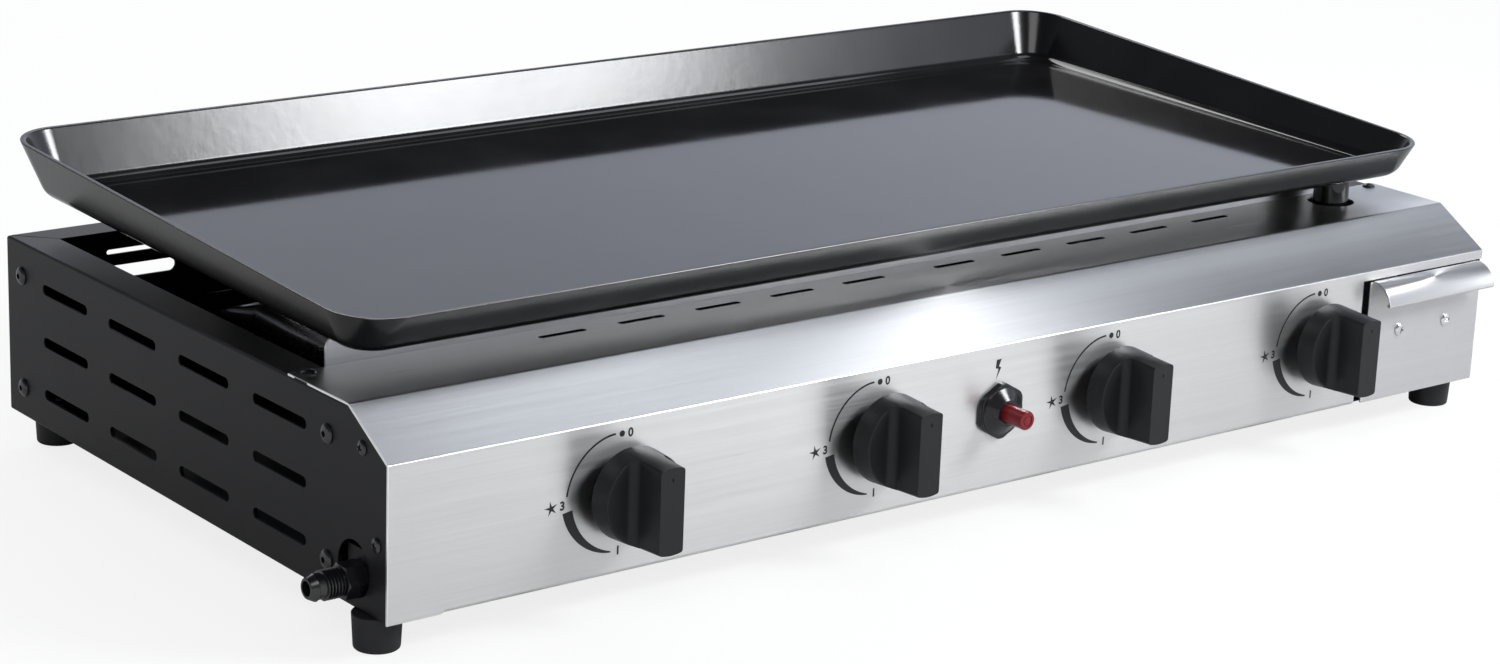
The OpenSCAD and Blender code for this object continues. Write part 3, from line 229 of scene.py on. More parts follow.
def slot_punch(length, width, depth):
    """A punch for a slot with round ends, along X, through Z from 0 to the depth."""
    bm = bmesh.new()
    points = 24
    bmesh.ops.create_circle(bm, cap_ends=True, segments=points, radius=width / 2,
                            matrix=turned(180 / points, "Z"))
    reach = (length - width) / 2
    for side in (1, -1):
        half = [v for v in bm.verts if v.co.x * side > 1e-6 and abs(v.co.x) <= width / 2]
        bmesh.ops.translate(bm, vec=(side * reach, 0, 0), verts=half)
    draw_out(bm, (0, 0, depth))
    return bm


def block(low, high):
    bm = bmesh.new()
    size = Vector(high) - Vector(low)
    centre = (Vector(high) + Vector(low)) / 2
    bmesh.ops.create_cube(bm, size=1, matrix=Matrix.Translation(centre) @ Matrix.Diagonal((*size, 1)))
    return bm


# %% [markdown]
# ## From a bmesh to a piece of the part
# Each piece is placed in metres, smoothed up to an angle, given its finish and hung on the body it moves
# with, and the CAD nodes that it stands for are hidden. Weighted normals
# keep the big flat faces flat beside their small round edges.

# %% Finish a piece
WELD = 2e-6


def piece(bm, name, body, finish, stands_for, angle=40.0):
    bmesh.ops.transform(bm, matrix=PLACE, verts=bm.verts)
    bmesh.ops.remove_doubles(bm, verts=bm.verts, dist=WELD)
    bmesh.ops.recalc_face_normals(bm, faces=bm.faces)
    for face in bm.faces:
        face.smooth = True
    for edge in bm.edges:
        edge.smooth = edge.is_manifold and edge.calc_face_angle(0.0) < math.radians(angle)
    made = object_of(bm, name)
    made.data.materials.append(finish)
    normals = made.modifiers.new("flat faces stay flat", "WEIGHTED_NORMAL")
    normals.keep_sharp = True
    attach(made, body)
    if stands_for:
        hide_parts(*stands_for)
    print(f"{name}: {len(made.data.polygons)} faces on {body}")


# %% [markdown]
# ## Finishes as expressions
# A finish is easier to read as a sum of masks than as a web of nodes. The class below wraps a node's
# output, so that plain Python operators add the Math nodes, and one method makes every other kind of node.
# A node's settings go in first, because they can change its sockets, and then its values and links.

# %% A small language for shaders
class Sock:
    def __init__(self, shop, socket):
        self.shop, self.socket = shop, socket

    def math(self, operation, other, swap=False):
        first, second = (other, self) if swap else (self, other)
        return self.shop.node("ShaderNodeMath", {0: first, 1: second}, operation=operation)

    def __add__(self, other):
        return self.math("ADD", other)

    def __sub__(self, other):
        return self.math("SUBTRACT", other)

    def __rsub__(self, other):
        return self.math("SUBTRACT", other, swap=True)

    def __mul__(self, other):
        return self.math("MULTIPLY", other)

    __radd__, __rmul__ = __add__, __mul__

    def most(self, other):
        return self.math("MAXIMUM", other)


class Shop:
    """One material's nodes: it makes nodes, and writes to the shader's sockets."""

    def __init__(self, name, **fixed):
        self.material = bpy.data.materials.new(name)
        self.material.use_nodes = True
        self.tree = self.material.node_tree
        self.shader = self.tree.nodes["Principled BSDF"]
        for socket, value in fixed.items():
            self.put(self.shader.inputs[socket.replace("_", " ")], value)

    def put(self, socket, value):
        if isinstance(value, Sock):
            self.tree.links.new(value.socket, socket)
        elif isinstance(value, tuple) and socket.type == "RGBA":
            socket.default_value = (*value, 1.0)
        else:
            socket.default_value = value

    def node(self, kind, inputs=None, out=0, **settings):
        made = self.tree.nodes.new(kind)
        for key, value in settings.items():
            setattr(made, key, value)
        for key, value in (inputs or {}).items():
            self.put(made.inputs[key], value)
        return Sock(self, made.outputs[out])

    def coords(self, scale=(1, 1, 1)):
        """Object coordinates, which are the part's metres, stretched along an axis where asked."""
        place = self.node("ShaderNodeTexCoord", out="Object")
        return self.node("ShaderNodeMapping", {"Vector": place, "Scale": scale})

    def along(self, axis):
        """The place along X, Y or Z (0, 1 or 2) in metres."""
        return self.node("ShaderNodeSeparateXYZ", {0: self.coords()}, out=axis)

    def noise(self, size_mm, detail=2.0, stretch=(1, 1, 1)):
        """Noise whose grains are about that many millimetres across."""
        scale = tuple(s / (size_mm * MM) for s in stretch)
        return self.node("ShaderNodeTexNoise", {"Vector": self.coords(scale), "Scale": 1.0, "Detail": detail})

    def ramp(self, value, low, high):
        """0 below low, 1 above high."""
        return self.node("ShaderNodeMapRange", {"Value": value, "From Min": low, "From Max": high},
                         interpolation_type="SMOOTHSTEP")

    def between(self, value, low, rises, falls, high):
        """0 outside low and high, 1 from where it has risen to where it falls."""
        return self.ramp(value, low, rises) * (1 - self.ramp(value, falls, high))

    def mix(self, factor, a, b):
        return self.node("ShaderNodeMix", {0: factor, 6: a, 7: b}, out=2, data_type="RGBA")

    def bump(self, height, depth_mm, strength):
        deep = depth_mm * MM
        return self.node("ShaderNodeBump", {"Height": height, "Distance": deep, "Strength": strength})

    def set(self, **values):
        for socket, value in values.items():
            self.put(self.shader.inputs[socket.replace("_", " ")], value)
        return self.material


# %% [markdown]
# ## Brushed stainless steel
# The front is sheet that a belt has ground along its length: thousands of fine scratches, a few long ones,
# and very slight clouds where the belt pressed harder. Stretching noise along X gives the scratches, at
# two widths. They vary the roughness and the height much more than the colour. A painted highlight makes
# the sheet's left end near white, and painted shade darkens the walls of the strip's slots.
# Scratches along X also smear what the steel mirrors upwards and downwards, so the shader's own anisotropy
# is turned by a quarter.

# %% Brushed steel
# Where the painted highlight at the left end and the painted shade in the strip's slots lie, in metres.
LEFT_END, EDGE_HIGHLIGHT_DEPTH = -0.3873, 0.0008
SLOT_SHADE_Y = (-0.1120, -0.1117, -0.0995, -0.0992)
SLOT_SHADE_Z = (0.1228, 0.1230, 0.12425, 0.1244)


def brushed_steel(name, colour, rough):
    shop = Shop(name, Metallic=1.0, Anisotropic=0.8, Anisotropic_Rotation=0.25)
    fine = shop.noise(0.9, 3.0, (0.012, 1, 1))
    long = shop.noise(4.0, 2.0, (0.01, 1, 1))
    cloud = shop.noise(90.0, 3.0)
    streak = fine * 0.6 + long * 0.4
    dark = tuple(c * 0.84 for c in colour)
    light = tuple(min(1.0, c * 1.1) for c in colour)
    # Painted highlight: the last 0.8 mm at the sheet's left end are mixed to near white.
    painted_edge_highlight = 1 - shop.ramp(shop.along(0), LEFT_END, LEFT_END + EDGE_HIGHLIGHT_DEPTH)
    tone = shop.mix(painted_edge_highlight, shop.mix(streak * 0.8 + cloud * 0.2, dark, light), (0.98, 0.98, 0.98))
    # Painted shade: the walls of the strip's slots, and the sheet's underside around them, are mixed to near
    # black.
    painted_slot_shade = shop.between(shop.along(1), *SLOT_SHADE_Y) * shop.between(shop.along(2), *SLOT_SHADE_Z)
    tone = shop.mix(painted_slot_shade, tone, (0.02, 0.02, 0.02))
    return shop.set(Base_Color=tone, Roughness=streak * 0.14 + cloud * 0.05 + (rough - 0.09),
                    Normal=shop.bump(streak, 0.09, 0.5))


steel_face = brushed_steel("brushed_steel", (0.69, 0.69, 0.69), 0.3)
drawer_steel = brushed_steel("brushed_steel_drawer", (0.6, 0.6, 0.6), 0.45)
print("steel:", len(steel_face.node_tree.nodes), "nodes")

# %% [markdown]
# ## Powder coat and enamel
# The side and rear panels have a satin powder coat, whose texture of less than a millimetre comes from the
# grains that melted together. The plate's enamel is glass. On the flat bottom it ran smooth and is almost a
# mirror; on the walls it stayed satin, with the slow waves called orange peel. The plate stands tipped, so
# the height where a wall begins grows slowly from the front upstand to the back.

# %% Coated steel
def coated(name, colour, rough, level):
    shop = Shop(name, Specular_IOR_Level=level)
    grain = shop.noise(0.7)
    wave = shop.noise(7.0)
    dust = shop.ramp(shop.noise(60.0, 4.0), 0.5, 0.8)
    light = tuple(c * 1.7 + 0.002 for c in colour)
    tone = shop.mix(dust * 0.5 + grain * 0.25, colour, light)
    return shop.set(Base_Color=tone, Roughness=rough - 0.04 + grain * 0.08 + dust * 0.06,
                    Normal=shop.bump(grain * 0.7 + wave * 0.3, 0.1, 0.5))


panel_coat = coated("powder_coat", (0.0058, 0.0058, 0.007), 0.4, 0.22)
# Painted shade: a darker, duller copy of the powder coat stands in for the shade inside the box.
shaded_inner_coat = coated("powder_coat_inside_painted_shade", (0.003, 0.003, 0.0033), 0.5, 0.1)

# %% Black enamel
TIP = math.radians(1.1)
TIP_AT, BEND_LOW, BEND_HIGH = -0.093, 0.1452, 0.1495


def enamel(name):
    shop = Shop(name, IOR=1.5)
    peel = shop.noise(9.0)
    grain = shop.noise(1.6)
    film = shop.ramp(shop.noise(70.0, 4.0), 0.42, 0.7)
    wall = shop.ramp(shop.along(2) - (shop.along(1) - TIP_AT) * math.tan(TIP), BEND_LOW, BEND_HIGH)
    tone = shop.mix(film * 0.6 + grain * 0.2, (0.0045, 0.0045, 0.005), (0.011, 0.011, 0.012))
    return shop.set(Base_Color=tone, Roughness=0.07 + wall * 0.12 + film * 0.015,
                    Normal=shop.bump(peel * 0.8 + grain * 0.2, 0.12, 0.1 + wall * 0.35))


black_enamel = enamel("black_enamel")

# %% [markdown]
# ## Plastic, rubber, print and the metals inside
# Knobs are moulded with a spark-eroded texture, the button is smooth and glossy, rubber is duller and
# greyer. The fittings inside are zinc plated, brass or plain tube, and none of them is one even colour:
# zinc has a mottled bloom, brass has turned marks, and a burner tube browns and blues where it is hot.

# %% Moulded plastic and rubber
def moulded(name, colour, rough, grain_mm=0.5, depth_mm=0.05, wear=0.35, **fixed):
    shop = Shop(name, **fixed)
    grain = shop.noise(grain_mm, 1.0)
    cloud = shop.noise(14.0, 3.0)
    light = tuple(c * 1.35 + 0.003 for c in colour)
    return shop.set(Base_Color=shop.mix(cloud * wear + grain * 0.2, colour, light),
                    Roughness=rough - 0.03 + grain * 0.05 + cloud * 0.04,
                    Normal=shop.bump(grain * 0.8 + cloud * 0.2, depth_mm, 0.5))


knob_plastic = moulded("black_plastic", (0.0115, 0.0118, 0.0135), 0.36, Specular_IOR_Level=0.25)
collar_plastic = moulded("black_plastic_gloss", (0.009, 0.009, 0.0105), 0.18, 0.9, 0.02,
                         Specular_IOR_Level=0.4)
button_plastic = moulded("red_plastic", (0.15, 0.006, 0.01), 0.16, 1.2, 0.02, 0.4, Specular_IOR_Level=0.35)
foot_rubber = moulded("rubber", (0.013, 0.013, 0.0145), 0.5, 0.8, 0.08, Specular_IOR_Level=0.3)
sleeve = moulded("lead_sleeve", (0.07, 0.07, 0.075), 0.45, 1.0, 0.05)
glazed = moulded("ceramic", (0.72, 0.70, 0.63), 0.3, 1.5, 0.03, 0.4)
print_ink = moulded("dial_print", (0.006, 0.006, 0.007), 0.5, 0.4, 0.02)

# %% Metals of the inside
def plain_metal(name, colour, stain, rough, stain_mm=12.0, stretch=(1, 1, 1), amount=0.6):
    shop = Shop(name, Metallic=1.0)
    bloom = shop.ramp(shop.noise(stain_mm, 4.0), 0.35, 0.7)
    marks = shop.noise(0.8, 2.0, stretch)
    return shop.set(Base_Color=shop.mix(bloom * amount, colour, stain),
                    Roughness=rough - 0.05 + marks * 0.1 + bloom * 0.08,
                    Normal=shop.bump(marks, 0.05, 0.4))


zinc = plain_metal("zinc_plate", (0.56, 0.57, 0.58), (0.42, 0.41, 0.38), 0.34, 9.0)
brass = plain_metal("brass", (0.62, 0.45, 0.19), (0.38, 0.27, 0.12), 0.28, 7.0)
tube = plain_metal("burner_steel", (0.62, 0.62, 0.61), (0.36, 0.32, 0.29), 0.2, 40.0, (1, 0.03, 1), 0.7)
black_steel = moulded("blackened_steel", (0.006, 0.006, 0.007), 0.24, 0.9, 0.03, Specular_IOR_Level=0.8)
bright_screw = plain_metal("bright_screw", (0.72, 0.72, 0.73), (0.55, 0.55, 0.55), 0.2, 3.0, amount=0.4)

# %% [markdown]
# ## Every CAD node gets its finish first
# Nodes that stay as they are take one of the finishes now. The ones that are modelled again below are
# hidden when their new piece is ready.

# %% Dress the CAD nodes
DRESS = {
    "griddle_plate": black_enamel, "drain_spout": black_enamel, "front_panel": steel_face,
    "drawer_front": drawer_steel, "side_panel": panel_coat, "rear_panel": panel_coat,
    # The base panel, bulkhead and burner rail take the darker copy of the coat that paints the shade inside
    # the box.
    "base_panel": shaded_inner_coat, "front_bulkhead": shaded_inner_coat, "griddle_support": panel_coat,
    "burner_rail": shaded_inner_coat, "burner_": tube, "manifold_pipe": zinc, "gas_inlet": black_steel,
    "inlet_lock_nut": black_steel, "inlet_bracket": panel_coat, "valve_body": brass, "valve_plug": brass,
    "valve_spring": zinc, "spindle": zinc, "knob": knob_plastic,
    "gas_jets": brass, "igniter_body": collar_plastic, "igniter_nut": collar_plastic,
    "igniter_button": button_plastic, "igniter_spring": zinc, "electrode_insulators": glazed,
    "electrode_pins": zinc, "ignition_leads": sleeve, "grease_tray": zinc, "drawer_screws": bright_screw,
    "drawer_runners": zinc, "rubber_feet": foot_rubber, "foot_screws": zinc, "side_bolts": black_steel,
    "hex_nuts": zinc, "panel_screws": black_steel, "support_screws": zinc,
}
for node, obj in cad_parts.items():
    finish = next(made for key, made in DRESS.items() if node.startswith(key))
    obj.data.materials.clear()
    obj.data.materials.append(finish)
print("dressed", len(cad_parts), "nodes with", len(bpy.data.materials), "materials")

# %% [markdown]
# ## The griddle plate
# The plate is one pressing: a flat bottom, four walls that lean out, low in front and high at the back, and
# an enamel coat over all of it. It starts as a flat sheet with rounded corners. Its outline is drawn out to
# the tilted rim in one move, the fold along the bottom is beveled to a soft bend, and only then does the
# sheet get its thickness.

# %% Size of the plate
PLATE_Z, PLATE_T = 141.3, 3.0
PAN_W, PAN_R = 769.0, 19.0
PAN_Y0, PAN_Y1 = 53.5, 402.7
PAN_MIDDLE = (PAN_Y0 + PAN_Y1) / 2
RIM_FRONT, RIM_BACK = (786.9, 40.5, 163.3), (797.0, 417.72, 175.8)
RIM_R, BEND = 30.0, 7.2
OVERSIZE = 1.12


def rim_corner(side_x, side_y):
    """Centre of the rim's corner arc, on the surface that the walls follow upwards past the rim."""
    width, y, z = RIM_BACK if side_y > 0 else RIM_FRONT
    low_y = (PAN_Y1 - PAN_R) if side_y > 0 else (PAN_Y0 + PAN_R)
    low = Vector((side_x * (PAN_W / 2 - PAN_R), low_y, PLATE_Z))
    high = Vector((side_x * (width / 2 - RIM_R), y - side_y * RIM_R, z))
    return low, low.lerp(high, OVERSIZE), PAN_R + (RIM_R - PAN_R) * OVERSIZE


# %% Press the plate
pan = bmesh.new()
flat = Matrix.Diagonal((PAN_W, PAN_Y1 - PAN_Y0, 1, 1))
bmesh.ops.create_grid(pan, x_segments=1, y_segments=1, size=0.5, matrix=moved(0, PAN_MIDDLE, PLATE_Z) @ flat)
round_corners(pan, pan.verts[:], PAN_R, 12)
for v in pull(pan, [e for e in pan.edges if e.is_boundary], (0, 0, 0)):
    low, high, radius = rim_corner(1 if v.co.x > 0 else -1, 1 if v.co.y > PAN_MIDDLE else -1)
    v.co = high + (v.co - low) * (radius / PAN_R)
fold = [e for e in pan.edges if not e.is_boundary and all(abs(v.co.z - PLATE_Z) < 0.01 for v in e.verts)]
round_edges(pan, fold, BEND, 6)
bmesh.ops.recalc_face_normals(pan, faces=pan.faces)
if max(pan.faces, key=lambda f: f.calc_area()).normal.z > 0:
    bmesh.ops.reverse_faces(pan, faces=pan.faces)
bmesh.ops.solidify(pan, geom=pan.faces[:], thickness=PLATE_T)
print("pan:", len(pan.faces), "faces, z to", round(max(v.co.z for v in pan.verts), 1))

# %% [markdown]
# ## Trim, drain hole and edges
# The walls were drawn a little past the rim. A plane through the rim cuts them straight, the two open edges
# are bridged, and the rim and the hole get round edges, because enamel never covers a sharp one. At the end
# the plate is tipped by one degree about the upstand it rests on, so that grease runs to the front.

# %% Trim the rim and drill the drain
DRAIN, DRAIN_R, RIM_EDGE = (341, 75.6), 9.0, 0.9
UPSTAND_Y = 95.0
tilt = math.atan2(RIM_BACK[2] - RIM_FRONT[2], RIM_BACK[1] - RIM_FRONT[1])
slice_off(pan, (0, *RIM_FRONT[1:]), (0, -math.sin(tilt), math.cos(tilt)))
bmesh.ops.bridge_loops(pan, edges=[e for e in pan.edges if e.is_boundary])
bmesh.ops.recalc_face_normals(pan, faces=pan.faces)
pan = cut(pan, rod(DRAIN_R, 20, at=(*DRAIN, PLATE_Z - 8)))
round_edges(pan, sharp_edges(pan), RIM_EDGE, 3)
bmesh.ops.rotate(pan, cent=(0, UPSTAND_Y, PLATE_Z), matrix=Matrix.Rotation(TIP, 3, "X"), verts=pan.verts)
piece(pan, "griddle_pan", "griddle", black_enamel, ["griddle_plate"])

# %% [markdown]
# ## The folded front
# Face, slope and strip are one sheet, folded twice, with a low upstand behind the strip that keeps grease
# off the controls. A line of four points is the side view of the sheet. Drawn out along X it becomes the
# whole front, the folds are beveled to the radius of a press brake, and the metal gets its thickness.
# Slots, spindle holes, the drain opening and the notch for the drawer are punched last.

# %% Size of the front
HALF_W, BASE_Z, FACE_Z, TOP_Z = 400.0, 19.0, 102.5, 124.5
SLOPE_Y, UPSTAND_Z, UPSTAND_END = 37.0, 141.0, 378.0
SHEET, LOW_FLANGE, FLANGE_END = 1.2, 34.0, 365.7
KNOB_XS = [(i - 1.5) * 171.4 for i in range(4)]
CONTROL_Z = 64.5
SLOT_XS = [side * (33.8 + 51.7 * i) for side in (-1, 1) for i in range(5)]
SLOT_L, SLOT_W, SLOT_Y = 30.5, 4.5, 82.0
EAR_X = 397.7

# %% Fold the front
front = bmesh.new()
side_view = [front.verts.new((-HALF_W, y, z)) for y, z in
             ((0, BASE_Z), (0, FACE_Z), (SLOPE_Y, TOP_Z), (UPSTAND_Y, TOP_Z))]
pull(front, [front.edges.new(pair) for pair in zip(side_view, side_view[1:])], (2 * HALF_W, 0, 0))
split_at(front, (-UPSTAND_END, UPSTAND_END, -FLANGE_END))
pull(front, edges_on(front, x=(-UPSTAND_END, UPSTAND_END), y=UPSTAND_Y, z=TOP_Z), (0, 0, UPSTAND_Z - TOP_Z))
pull(front, edges_on(front, x=(-FLANGE_END, HALF_W), y=0, z=BASE_Z), (0, LOW_FLANGE, 0))
upstand_ends = [v for v in front.verts if v.co.z > UPSTAND_Z - 0.1 and abs(v.co.x) > UPSTAND_END - 1]
round_corners(front, upstand_ends, 8, 8)
for fold, radius in ((edges_on(front, y=0, z=FACE_Z), 0.5), (edges_on(front, y=SLOPE_Y, z=TOP_Z), 1.0),
                     (edges_on(front, y=0, z=BASE_Z), 2.6)):
    round_edges(front, [e for e in fold if len(e.link_faces) == 2], radius, 6)
thicken(front, SHEET)
for side in (-1, 1):
    ear = bmesh.new()
    ear.faces.new([ear.verts.new((side * EAR_X, y, z)) for y, z in
                   ((1.25, 21.7), (1.25, 101.8), (35.8, 122.3), (35.8, 106.3), (16, 85.8), (16, 21.7))])
    draw_out(ear, (side, 0, 0))
    stamp(front, ear)
print("front sheet:", len(front.faces), "faces")

# %% Punch the front
SPINDLE_HOLE, IGNITER_HOLE, SPOUT_HOLE, SCREW_HOLE = 5.0, 8.3, 14.6, 2.1
STRIP_SCREW, DRAWER_NOTCH = (391.0, 89.3), ((293, -5, 10), (410, 40, 97))
punches = bmesh.new()
for x in KNOB_XS:
    stamp(punches, rod(SPINDLE_HOLE, 10, "Y"), moved(x, -5, CONTROL_Z))
stamp(punches, rod(IGNITER_HOLE, 10, "Y"), moved(0, -5, CONTROL_Z))
for x in SLOT_XS:
    stamp(punches, slot_punch(SLOT_L, SLOT_W, 10), moved(x, SLOT_Y, TOP_Z - 6))
stamp(punches, rod(SPOUT_HOLE, 10, "Z", 48), moved(*DRAIN, TOP_Z - 6))
for side in (-1, 1):
    stamp(punches, rod(SCREW_HOLE, 10), moved(side * STRIP_SCREW[0], STRIP_SCREW[1], TOP_Z - 6))
stamp(punches, block(*DRAWER_NOTCH))
front = cut(front, punches)
round_edges(front, sharp_edges(front, lambda co: abs(co.y - SLOT_Y) >= 6 or abs(co.x) >= 300), 0.5, 3)
piece(front, "front_sheet", "body", steel_face, ["front_panel"], 30)

# %% [markdown]
# ## The side panels
# Each side is one coated sheet whose top and bottom edges are folded inwards, which makes the box stiff and
# leaves no sharp edge to touch. A face of five corners is the side view. Its two long edges are drawn
# inwards, the back corner is mitred to meet the rear panel, and a press brake's bend radius goes on last.

# %% Fold a side panel
BACK_Y, FLANGE_Z, TOP_FLANGE, BEND_R = 409.0, 123.3, 22.0, 1.6
BOLT_HOLE, BOLTS = 2.6, [(y, z) for y in (56.5, 391.0) for z in (36.7, 103.4)]
SLOPE_SCREW, FACE_SCREW = (23.5, 105.27), (9.7, 58.6)
SLOT_YS, SLOT_ZS = [103.7 + 78.3 * i for i in range(4)], (39.8, 70.9, 102.0)
INLET_HOLE, INLET_HOLE_AT = 15, (31.1, 39.8)
FEET = [(-392.5, 21.0), (387.0, 21.0), (-378.0, 394.0), (378.0, 394.0)]
ALONG_Y = turned(90, "Y") @ turned(90, "Z")


def side_panel(side, name, node, screws, inlet=False):
    bm = bmesh.new()
    outline = (SHEET, BASE_Z), (SHEET, 101.82), (37.33, FLANGE_Z), (BACK_Y, FLANGE_Z), (BACK_Y, BASE_Z)
    bm.faces.new([bm.verts.new((HALF_W, y, z)) for y, z in outline])
    for v in pull(bm, edges_on(bm, z=FLANGE_Z), (-TOP_FLANGE, 0, 0)):
        v.co.y = min(v.co.y, BACK_Y - TOP_FLANGE)
    for v in pull(bm, edges_on(bm, x=HALF_W, z=BASE_Z), (-LOW_FLANGE, 0, 0)):
        v.co.y = min(v.co.y, BACK_Y - SHEET)
    round_edges(bm, edges_on(bm, x=HALF_W, z=FLANGE_Z) + edges_on(bm, x=HALF_W, z=BASE_Z), BEND_R, 5)
    thicken(bm, SHEET)
    tools = bmesh.new()
    for y in SLOT_YS:
        for z in SLOT_ZS:
            stamp(tools, slot_punch(53, 6, 20), moved(390, y, z) @ ALONG_Y)
    for y, z in BOLTS:
        stamp(tools, rod(BOLT_HOLE, 20, "X"), moved(390, y, z))
    for y, z in screws:
        stamp(tools, rod(SCREW_HOLE, 20, "X"), moved(390, y, z))
    stamp(tools, rod(SCREW_HOLE, 8), moved(*STRIP_SCREW, 118))
    for x, y in FEET:
        if x * side > 0:
            stamp(tools, rod(SCREW_HOLE, 8), moved(x * side, y, 15))
    if inlet:
        stamp(tools, rod(INLET_HOLE, 20, "X", 64), moved(390, *INLET_HOLE_AT))
    bm = cut(bm, tools)
    round_edges(bm, sharp_edges(bm), 0.3, 2)
    if side < 0:
        bmesh.ops.scale(bm, vec=(-1, 1, 1), verts=bm.verts)
    print("reaches x", round(max(abs(v.co.x) for v in bm.verts), 2))
    piece(bm, name, "body", panel_coat, [node], 30)


side_panel(1, "right_side", "side_panel_right", [SLOPE_SCREW])
side_panel(-1, "left_side", "side_panel_left", [SLOPE_SCREW, FACE_SCREW], inlet=True)

# %% [markdown]
# ## The rear panel
# The back closes the box with the same fold at the top and bottom, and its two ends turn forwards inside
# the sides, where the bolts hold them. Two rows of slots let the burners draw air. The sheet starts as one
# rectangle whose edges are split where a flange ends, so that each flange is drawn from its own stretch.

# %% Fold the rear panel
INNER_W = HALF_W - SHEET
END_LOW, END_HIGH, END_FLANGE = 20.6, 121.6, 32.0
rear = bmesh.new()
rear.faces.new([rear.verts.new((x, BACK_Y, z)) for x, z in
                ((-INNER_W, BASE_Z), (INNER_W, BASE_Z), (INNER_W, FLANGE_Z), (-INNER_W, FLANGE_Z))])
split_at(rear, (-FLANGE_END, FLANGE_END))
split_at(rear, (END_LOW, END_HIGH), (0, 0, 1))
for v in pull(rear, edges_on(rear, z=FLANGE_Z), (0, -TOP_FLANGE, 0)):
    if abs(v.co.x) > FLANGE_END + 1:
        v.co.x = math.copysign(377.4, v.co.x)
pull(rear, edges_on(rear, x=(-FLANGE_END, FLANGE_END), y=BACK_Y, z=BASE_Z), (0, -LOW_FLANGE, 0))
for side in (-1, 1):
    pull(rear, edges_on(rear, x=side * INNER_W, y=BACK_Y, z=(END_LOW, END_HIGH)), (0, -END_FLANGE, 0))
ends = edges_on(rear, y=BACK_Y, z=FLANGE_Z) + edges_on(rear, y=BACK_Y, z=BASE_Z)
round_edges(rear, [e for e in ends if len(e.link_faces) == 2], BEND_R, 5)
thicken(rear, SHEET)

# %% Punch the rear panel
VENT_XS, VENT_ROWS = [79.75 * i for i in range(-4, 5)], ((53, 8, 92), (37, 3, 104.5))
SUPPORT_SCREWS = [(side * 250 + d, 399.0) for side in (-1, 1) for d in (-11, 11)]
vents = bmesh.new()
for x in VENT_XS:
    for length, width, z in VENT_ROWS:
        stamp(vents, slot_punch(length, width, 14), moved(x, 416, z) @ turned(90, "X"))
for x, y in SUPPORT_SCREWS:
    stamp(vents, rod(SCREW_HOLE, 8), moved(x, y, 118))
for side in (-1, 1):
    for y, z in BOLTS[2:]:
        stamp(vents, rod(BOLT_HOLE, 10, "X"), moved(side * 398 - 5, y, z))
rear = cut(rear, vents)
round_edges(rear, sharp_edges(rear), 0.3, 2)
print("rear reaches y", round(max(v.co.y for v in rear.verts), 2))
piece(rear, "rear_sheet", "body", panel_coat, ["rear_panel"], 30)

# %% [markdown]
# ## Bolts and screws
# Eight bolts with a hexagon socket join the panels, cross-head screws hold the front, and bright ones hold
# the drawer's front. A head is a low dome. It is turned on the lathe with its shank, and the recess is cut
# into it. One head of each kind is made and stamped wherever the drawing has one.

# %% Turn the fasteners
def headed(head_r, head_h, shank_r, shank_l):
    """Head down at negative Z, the underside of the head at 0, the shank along +Z."""
    dome = [(head_r * math.sin(a), -head_h * math.cos(a) ** 0.8) for a in
            [math.radians(d) for d in (0, 15, 30, 45, 58, 70)]]
    return lathe([*dome, (head_r, -head_h * 0.3), (head_r, 0), (shank_r, 0), (shank_r, shank_l - 0.5),
                  (shank_r - 0.5, shank_l), (0, shank_l)], steps=28)


def socket_head():
    return cut(headed(5.3, 2.6, 2.5, 8.6), rod(3.2 / math.sqrt(3), 2.2, segments=6, at=(0, 0, -2.9)))


def cross_head():
    made = headed(4.0, 2.0, 2.0, 7.0)
    for x, y in ((2, 0.5), (0.5, 2)):
        made = cut(made, block((-x, -y, -2.3), (x, y, -0.8)))
    return made


socket, cross = socket_head(), cross_head()

# %% Stamp the fasteners
bolts = stamped(socket, [moved(side * HALF_W, y, z) @ turned(-90 * side, "Y")
                         for side in (-1, 1) for y, z in BOLTS])
piece(bolts, "socket_bolts", "body", black_steel, ["side_bolts"], 35)

screws = stamped(cross, [moved(-HALF_W, y, z) @ turned(90, "Y") @ turned(18, "Z")
                         for y, z in (SLOPE_SCREW, FACE_SCREW)])
stamp(screws, cross, moved(HALF_W, *SLOPE_SCREW) @ turned(-90, "Y") @ turned(30, "Z"))
for side in (-1, 1):
    at = moved(side * STRIP_SCREW[0], STRIP_SCREW[1], TOP_Z)
    stamp(screws, cross, at @ turned(180, "X") @ turned(25, "Z"))
piece(screws, "cross_screws", "body", black_steel, ["panel_screws"], 35)

plated = stamped(cross, [moved(x, y, 125.3) @ turned(180, "X") @ turned(x, "Z") for x, y in SUPPORT_SCREWS])
piece(plated, "plated_screws", "body", zinc, ["support_screws"], 35)

# %% [markdown]
# ## The knobs
# A knob is one moulding: a round base like a cone, and a flat grip that stands across it, with a hollow
# where the two meet. Three shapes make it. The base is turned, the grip is a slice of a circle with round
# corners drawn forwards, and the hollow is a bar with a groove at each side, trimmed to the cone. All three
# are joined by Booleans, the spindle's bore is drilled with its flat, and a small wedge is pressed in near
# the top as the pointer.

# %% Size of a knob
KNOB_BACK, KNOB_L = 6.0, 35.0
KNOB_R, KNOB_FRONT_R = 25.5, 23.5
KNOB_BASE, GRIP_W, HOLLOW_R = 13.0, 15.0, 5.0
GRIP_BACK, BORE_R, BORE_FLAT = KNOB_BASE - 2, 4.05, 3.05
FORWARDS = turned(90, "X")


def cone_r(length):
    return KNOB_R + (KNOB_FRONT_R - KNOB_R) * length / KNOB_L


